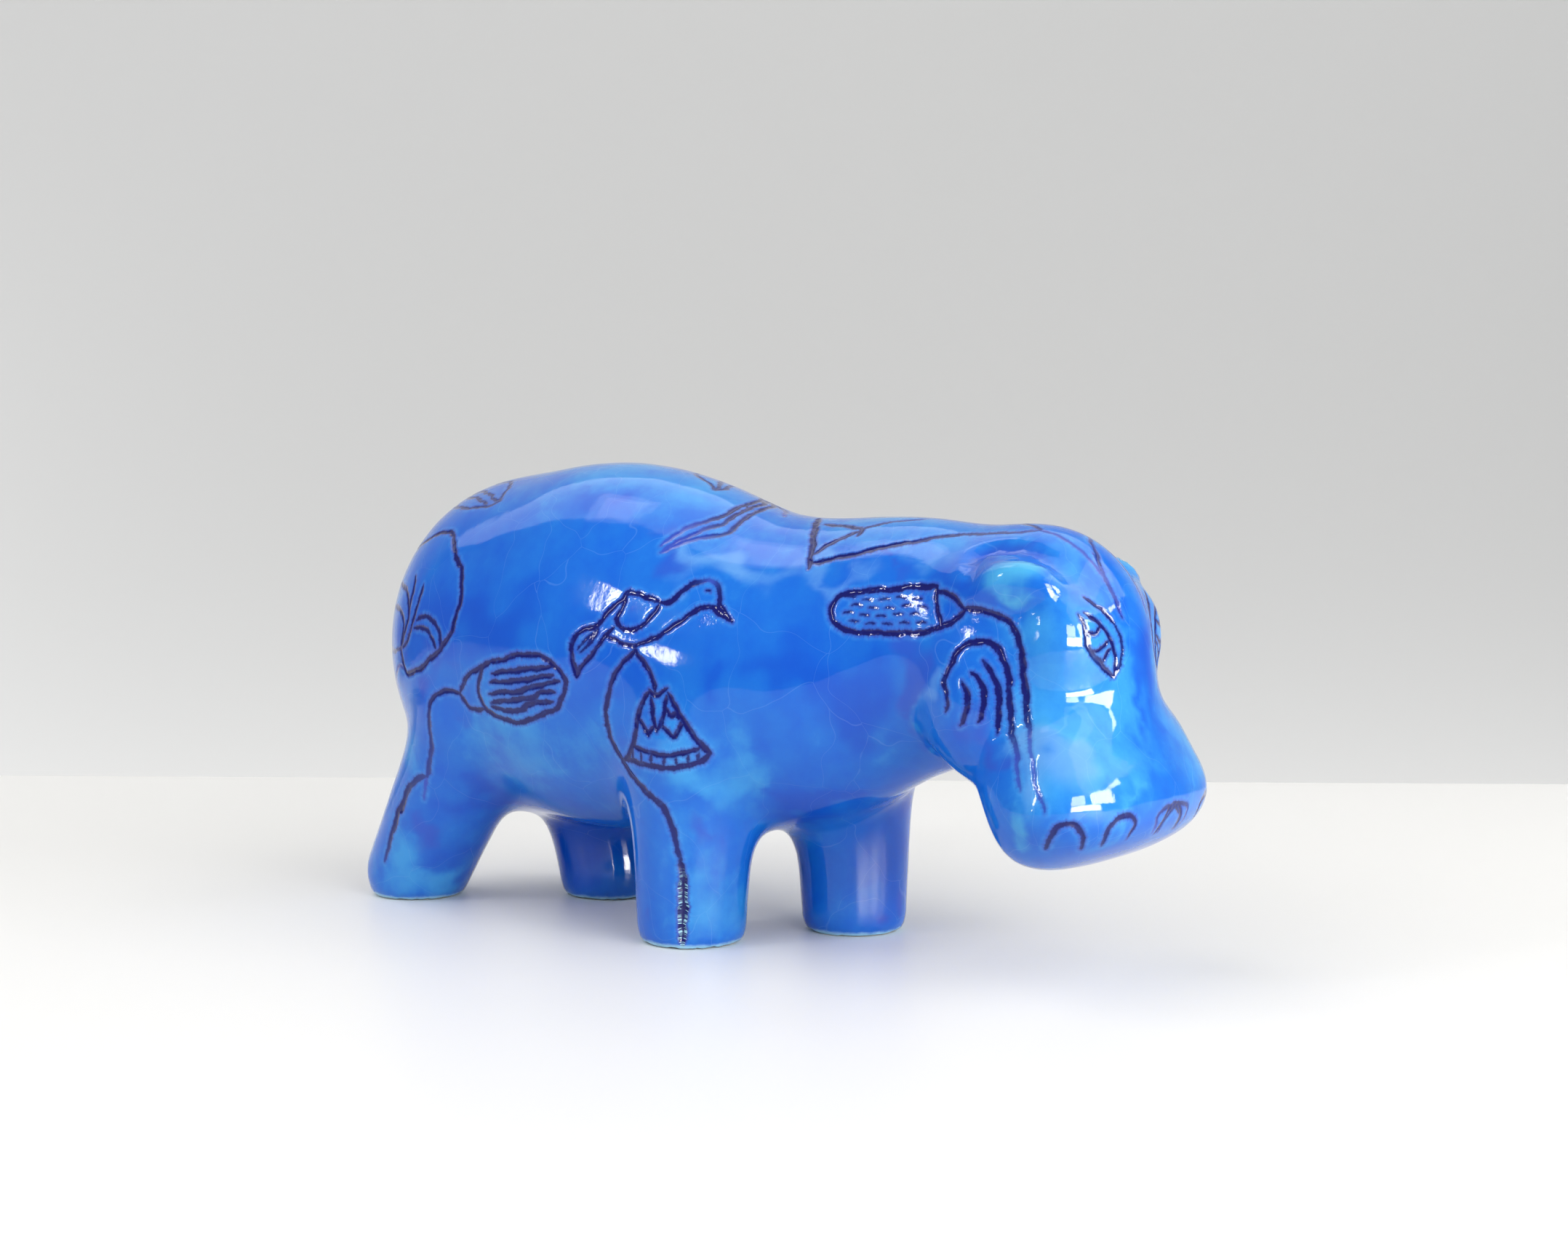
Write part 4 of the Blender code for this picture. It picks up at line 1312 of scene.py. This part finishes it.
        # Painted glints: pale teeth along the deep cut, partly chipped glaze and partly painted highlight.
        teeth = Wire(bench, hair_node.outputs["Fac"]).step(0.5, 0.57)
        teeth = teeth * edge.step(-0.75, -0.4) * edge.step(0.3, 0.1)
        chips_and_painted_glints = teeth * ((ink - 1.0).clamped() * 1.7).clamped()
        shade = bench.mix(ink.step(0.25, 0.8), linear(self.thin_ink), linear(self.ink))
        shade = bench.mix(chips_and_painted_glints, shade, linear(self.rim))
        amount = body * (0.5 + ink * 0.5) * (1.0 - (bench.noise(place, 1.6, 3) - 0.08).clamped() * 1.2)
        return bench.mix(amount.clamped(), colour, shade)


# The room


@dataclass(frozen=True)
class Pane:
    """A lamp panel: the direction it shines from, its distance, size, turn and brightness.

    azimuth 0 is in front of the drawn flank and 90 in front of the nose. radiance is how bright
    the panel looks, where 1 is the white of the table. A panel may be only mirrored in the
    glaze, or only light what it shines on.
    """

    name: str
    azimuth: float
    elevation: float
    distance: float
    size: Spot
    radiance: float
    target: Point = (0.0, 0.0, 50.0)
    mirrored: bool = True
    lighting: bool = True

    def lit(self) -> bpy.types.Object:
        """The panel as an area lamp that faces its target."""
        a = math.radians(self.azimuth)
        e = math.radians(self.elevation)
        away = Vector((math.sin(a) * math.cos(e), -math.cos(a) * math.cos(e), math.sin(e)))
        lamp = bpy.data.lights.new(self.name, "AREA")
        lamp.shape = "RECTANGLE"
        lamp.size, lamp.size_y = (side * MM for side in self.size)
        lamp.energy = self.radiance * math.pi * lamp.size * lamp.size_y
        piece = bpy.data.objects.new(self.name, lamp)
        piece.visible_glossy = self.mirrored
        piece.visible_diffuse = self.lighting
        piece.location = (Vector(self.target) + away * self.distance) * MM
        piece.rotation_euler = away.to_track_quat("Z", "Y").to_euler()
        bpy.context.scene.collection.objects.link(piece)
        return piece


@dataclass(frozen=True)
class Studio:
    """A white table before a grey wall, window light from the viewer's side and a camera.

    The table runs from table_front to table_reach in front of the camera's foot, turned by
    table_turn degrees, and the wall stands at wall_reach. lens is in millimetres of film 36
    wide, and daylight is the strength of the even light from all round.
    """

    eye: Point = (302.9, -411.7, 104.9)
    aim: Point = (13.1, -5.9, 68.0)
    lens: float = 53.47
    table_reach: float = 749.0
    table_front: float = 41.0
    table_turn: float = 2.3
    table_half: float = 2500.0
    wall_reach: float = 1900.0
    wall_half: float = 3000.0
    wall_foot: float = -900.0
    wall_top: float = 2200.0
    daylight: float = 0.29
    panes: tuple[Pane, ...] = (
        Pane("window_high", -25.3, 29.5, 1200, (50, 270), 36),
        Pane("window_low", -23.5, 10.8, 1200, (24, 100), 36),
        Pane("side_pane_near", 54, 18.5, 1150, (400, 320), 17, lighting=False),
        Pane("side_pane_far", 90, 18.5, 1150, (620, 320), 24, lighting=False),
        Pane("side_pane_last", 114, 26, 1150, (260, 60), 16, lighting=False),
        Pane("side_sill", 65, 3.8, 1150, (900, 240), 30, lighting=False),
        Pane("side_light", 80, 18, 1150, (1300, 400), 9.5, mirrored=False),
        Pane("skylight", 0, 90, 1390, (400, 620), 1.0, target=(-640.0, -60.0, 50.0)),
        Pane("skylight_core", 0, 90, 1391, (260, 440), 1.0, target=(-620.0, -60.0, 50.0)),
        Pane("ceiling", 0, 90, 1400, (3900, 1820), 1.15, target=(-650.0, 590.0, 50.0), lighting=False),
        Pane("overhead", -35, 58, 1800, (2600, 1700), 1.35, mirrored=False),
        Pane("ceiling_right", 105, 45, 1800, (2600, 1000), 1.6),
        Pane("wall_wash", 35.5, -45, 283, (2300, 160), 2.2, target=(-882.0, 1076.0, -130.0)),
        Pane("wall_glow", -1.3, 0, 500, (300, 300), 3.0, target=(-1371.0, 728.0, 40.0)),
        Pane("room_fill", -25, 26, 2200, (2400, 1500), 1.15, mirrored=False),
    )

    def plane(self, name: str, corners: list[Point], code: str, rough: float) -> bpy.types.Object:
        """A flat sheet of the room.

        Args:
            name: its name.
            corners: its corners in millimetres.
            code: its colour.
            rough: its roughness.

        Returns:
            The sheet.
        """
        data = bpy.data.meshes.new(name)
        data.from_pydata([tuple(v * MM for v in corner) for corner in corners], [], [(0, 1, 2, 3)])
        bench = Bench(name)
        bench.shader.inputs["Base Color"].default_value = linear(code)
        bench.shader.inputs["Roughness"].default_value = rough
        data.materials.append(bench.material)
        piece = bpy.data.objects.new(name, data)
        bpy.context.scene.collection.objects.link(piece)
        return piece

    def built(self) -> None:
        """Table, wall, lamps, daylight and camera."""
        eye = Vector(self.eye)
        away = Vector(self.aim) - eye
        forward = Vector((away.x, away.y, 0)).normalized()
        right = Vector((forward.y, -forward.x, 0))
        foot = Vector((eye.x, eye.y, 0))
        turned = math.radians(self.table_turn)
        back = foot + forward * self.table_reach
        along = right * math.cos(turned) + forward * -math.sin(turned)
        inward = Vector((-along.y, along.x, 0))
        near = back - inward * (self.table_reach - self.table_front)
        side = along * self.table_half
        corners = [back - side, back + side, near + side, near - side]
        self.plane("table", [tuple(c) for c in corners], "e1e0dd", 0.42)
        wall = foot + forward * self.wall_reach
        low = Vector((0, 0, self.wall_foot))
        high = Vector((0, 0, self.wall_top))
        left, far = wall - right * self.wall_half, wall + right * self.wall_half
        corners = [left + low, far + low, far + high, left + high]
        self.plane("wall", [tuple(c) for c in corners], "c6c6c5", 0.9)
        for pane in self.panes:
            pane.lit()
        world = bpy.data.worlds.new("daylight")
        world.use_nodes = True
        background = world.node_tree.nodes["Background"]
        background.inputs["Color"].default_value = (0.97, 0.98, 1.0, 1)
        background.inputs["Strength"].default_value = self.daylight
        scene = bpy.context.scene
        scene.world = world
        scene.view_settings.view_transform = "Standard"
        camera = bpy.data.cameras.new("camera")
        camera.lens = self.lens
        camera.sensor_width = 36
        camera.clip_start = 0.01
        piece = bpy.data.objects.new("camera", camera)
        piece.location = eye * MM
        piece.rotation_euler = away.to_track_quat("-Z", "Y").to_euler()
        scene.collection.objects.link(piece)
        scene.camera = piece


def drawing(figure: Figure) -> Engraving:
    """The whole drawing, laid on the figure.

    Args:
        figure: the form.

    Returns:
        The cuts of both flanks, the face, the lip, the back and the rump.
    """
    lip = LipArches()
    cheek = Face().strokes() + lip.strokes()
    bud, bird, flower, dashed = (kind().strokes() for kind in (StripedBud, Bird, BellFlower, DashedBud))
    plans = [
        (View.SIDE.value, bud + bird + flower + dashed),
        (View.FACE.value, cheek),
        (View.FACE.far(), cheek),
        (View.FRONT.value, lip.front()),
        (View.TOP.value, NeckLotus().strokes() + BackBundle().strokes()),
        (View.RUMP.value, RumpLeaf().strokes()),
        (View.SIDE.far(), bud + flower[:-1] + dashed),
    ]
    cuts = []
    for number, (board, strokes) in enumerate(plans):
        cuts += Cut.lay(figure, board, strokes, 4000.0 * number)
    return Engraving(cuts)


def folds() -> list[Fold]:
    """The soft hollows and the swell of the clay over the ears, which the rounded form leaves out: glaze
    pooled in the crease, painted light on the swell and painted shade in the hollow below it.
    """
    face = View.FACE.value
    crease = ((-13.2, 25.2), (-12.4, 28.6), (-9.8, 31.6), (-6, 32.5), (-1.4, 31.8), (3.2, 29.2))
    ridge = ((-12.4, 24.6), (-9.5, 27), (-6.3, 27.8), (-2, 27), (1.6, 25.2))
    shade = ((-10.5, 20.6), (-6, 20.4), (-2, 21.6))
    near = [
        Fold(face, crease, 3.2, 1.8, Tint.VIOLET, 0.9),
        # Painted light: the turquoise stain lightens the top of the ear's swell where light falls on it.
        Fold(face, ridge, 4.5, -1.2, Tint.TURQUOISE_AND_PAINTED_LIGHT, 0.6),
        # Painted shade: the cobalt stain darkens the hollow under the ear.
        Fold(face, shade, 4.5, 0.5, Tint.COBALT_AND_PAINTED_SHADE, 0.4),
    ]
    return near + [replace(fold, board=replace(face, mirror=True)) for fold in near]


def dabs(table: tuple) -> list[Dab]:
    """The patches of a table.

    Args:
        table: groups of one tint and one view, each with its patches. A patch gives its place
            to the right and up, its half-width and half-height, its strength and, where that
            isn't the usual one, its depth.

    Returns:
        The patches in the table's order.
    """
    return [
        Dab(tint, view.value, (u, v), (wide, tall), strength, *depth)
        for tint, view, patches in table
        for u, v, wide, tall, strength, *depth in patches
    ]


def clouds() -> list[Dab]:
    """Where the glaze pooled, ran thin or turned another blue, and where light and shade are painted on, on
    both sides of the spine.
    """
    near = (
        # Cobalt patches deepen the blue, partly as pooled glaze and partly as painted shade.
        (Tint.COBALT_AND_PAINTED_SHADE, View.SIDE, (
            (-48, 18, 34, 15, 0.9), (-14, 10, 22, 13, 0.6), (30, 11, 18, 13, 0.7),
            (43, 4, 18, 15, 0.9), (25, -19, 20, 8, 0.9), (-58, -22, 16, 7, 0.8),
            (-71, -38, 9, 9, 0.7), (34, -20, 11, 6, 0.8), (11, 10, 6, 5, 0.6),
            (8, -19, 9, 6, 0.5))),
        (Tint.COBALT_AND_PAINTED_SHADE, View.TOP, ((-26, -16, 10, 5, 0.6),)),
        (Tint.COBALT_AND_PAINTED_SHADE, View.FACE, ((16, 3, 4, 15, 0.7), (18, 14, 5, 10, 0.8), (-15, 22, 10, 6, 0.7))),
        (Tint.VIOLET, View.SIDE, (
            (55, 7, 9, 19, 1.3), (56, 16, 5, 9, 0.6), (-75, -30, 9, 10, 0.9),
            (-7, 0, 5, 12, 0.5), (-9, 22, 8, 5, 0.5), (-1, 33, 9, 5, 0.7), (-51, -2, 6, 9, 0.6),
            (6, -27, 8, 5, 0.7), (-4, -44, 4, 9, 0.6))),
        (Tint.VIOLET, View.FACE, ((-11, -5, 6, 8, 0.8), (-4, 32, 12, 3.5, 1.0, 8))),
        (Tint.VIOLET, View.TOP, ((48, -16, 13, 4, 0.7),)),
        # Sky-blue patches on the flank and legs: partly thinner glaze, partly painted light where the
        # table's glow falls.
        (Tint.SKY_BLUE_AND_PAINTED_LIGHT, View.SIDE, (
            (-40, -9, 28, 12, 0.8), (13, -12, 14, 13, 1.2), (18, -15, 11, 18, 1.0),
            (9, -39, 8, 11, 0.8), (-78, -41, 15, 10, 1.1), (-74, -12, 8, 13, 0.7),
            (50, 1, 7, 7, 0.7))),
        # Painted light: the face is lightened where the side window's light falls on it.
        (Tint.SKY_BLUE_AND_PAINTED_LIGHT, View.FACE, ((6, -8, 26, 26, 1.2), (0, 10, 22, 24, 1.0), (6, 28, 11, 7, 0.8))),
        (Tint.TURQUOISE_AND_PAINTED_LIGHT, View.FACE, (
            (-8, 25, 13, 6, 0.6, 10), (-9, -20, 9, 6, 0.6), (10, -19, 9, 4, 0.5),
            (2, -6, 7, 12, 0.4))),
        (Tint.TURQUOISE_AND_PAINTED_LIGHT, View.SIDE, ((59, -2, 6, 6, 0.6), (18, -15, 5, 12, 0.4))),
        (Tint.LAVENDER_AND_PAINTED_SHEEN, View.FACE, ((-4, -7, 10, 15, 1.0),)),
        (Tint.LAVENDER_AND_PAINTED_SHEEN, View.SIDE, ((61, 7, 4, 7, 0.6),)),
    )
    middle = (
        # Sky blue along the back: partly thinner glaze, partly a painted sheen from the ceiling above.
        (Tint.SKY_BLUE_AND_PAINTED_LIGHT, View.TOP, ((-20, -2, 50, 18, 0.8), (50, -6, 46, 14, 0.8))),
        # Lavender over the shoulder and neck: partly glaze colour, partly a painted sheen.
        (Tint.LAVENDER_AND_PAINTED_SHEEN, View.TOP, (
            (10, -24, 22, 9, 0.9), (56, -13, 16, 5, 0.5), (36, -22, 22, 6, 0.6))),
        (Tint.COBALT_AND_PAINTED_SHADE, View.RUMP, ((22, 6, 20, 20, 0.7),)),
        (Tint.VIOLET, View.RUMP, ((27, -3, 10, 7, 0.8), (13, 3, 8, 10, 0.6))),
        (Tint.VIOLET, View.FRONT, ((13, -43, 6, 9, 0.9),)),
        (Tint.COBALT_AND_PAINTED_SHADE, View.FRONT, ((13, -38, 14, 16, 0.5),)),
    )
    # Painted shade: the far rear leg is darkened as it stands in shade.
    painted_shade_far_leg = Dab(Tint.COBALT_AND_PAINTED_SHADE, View.SIDE.far(), (-53, -32), (24, 28), 1.3)
    seen = dabs(near)
    hidden = [replace(dab, board=replace(dab.board, mirror=True)) for dab in seen]
    return seen + dabs(middle) + [painted_shade_far_leg] + hidden


def main() -> None:
    """Build the figure and the room round it."""
    logging.basicConfig(level=logging.INFO, format="%(message)s")
    figure = Figure()
    engraving = drawing(figure)
    log.info("drawing: %d cuts", len(engraving.cuts))
    skin = Skin(figure, engraving, folds(), clouds())
    piece = skin.built(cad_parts["hippopotamus"], BlueGlaze().made())
    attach(piece, "root")
    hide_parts("hippopotamus")
    log.info("glazed skin: %d triangles", len(piece.data.polygons))
    Studio().built()
    log.info("studio: table, wall, lamps and camera")


if __name__ == "__main__":
    main()
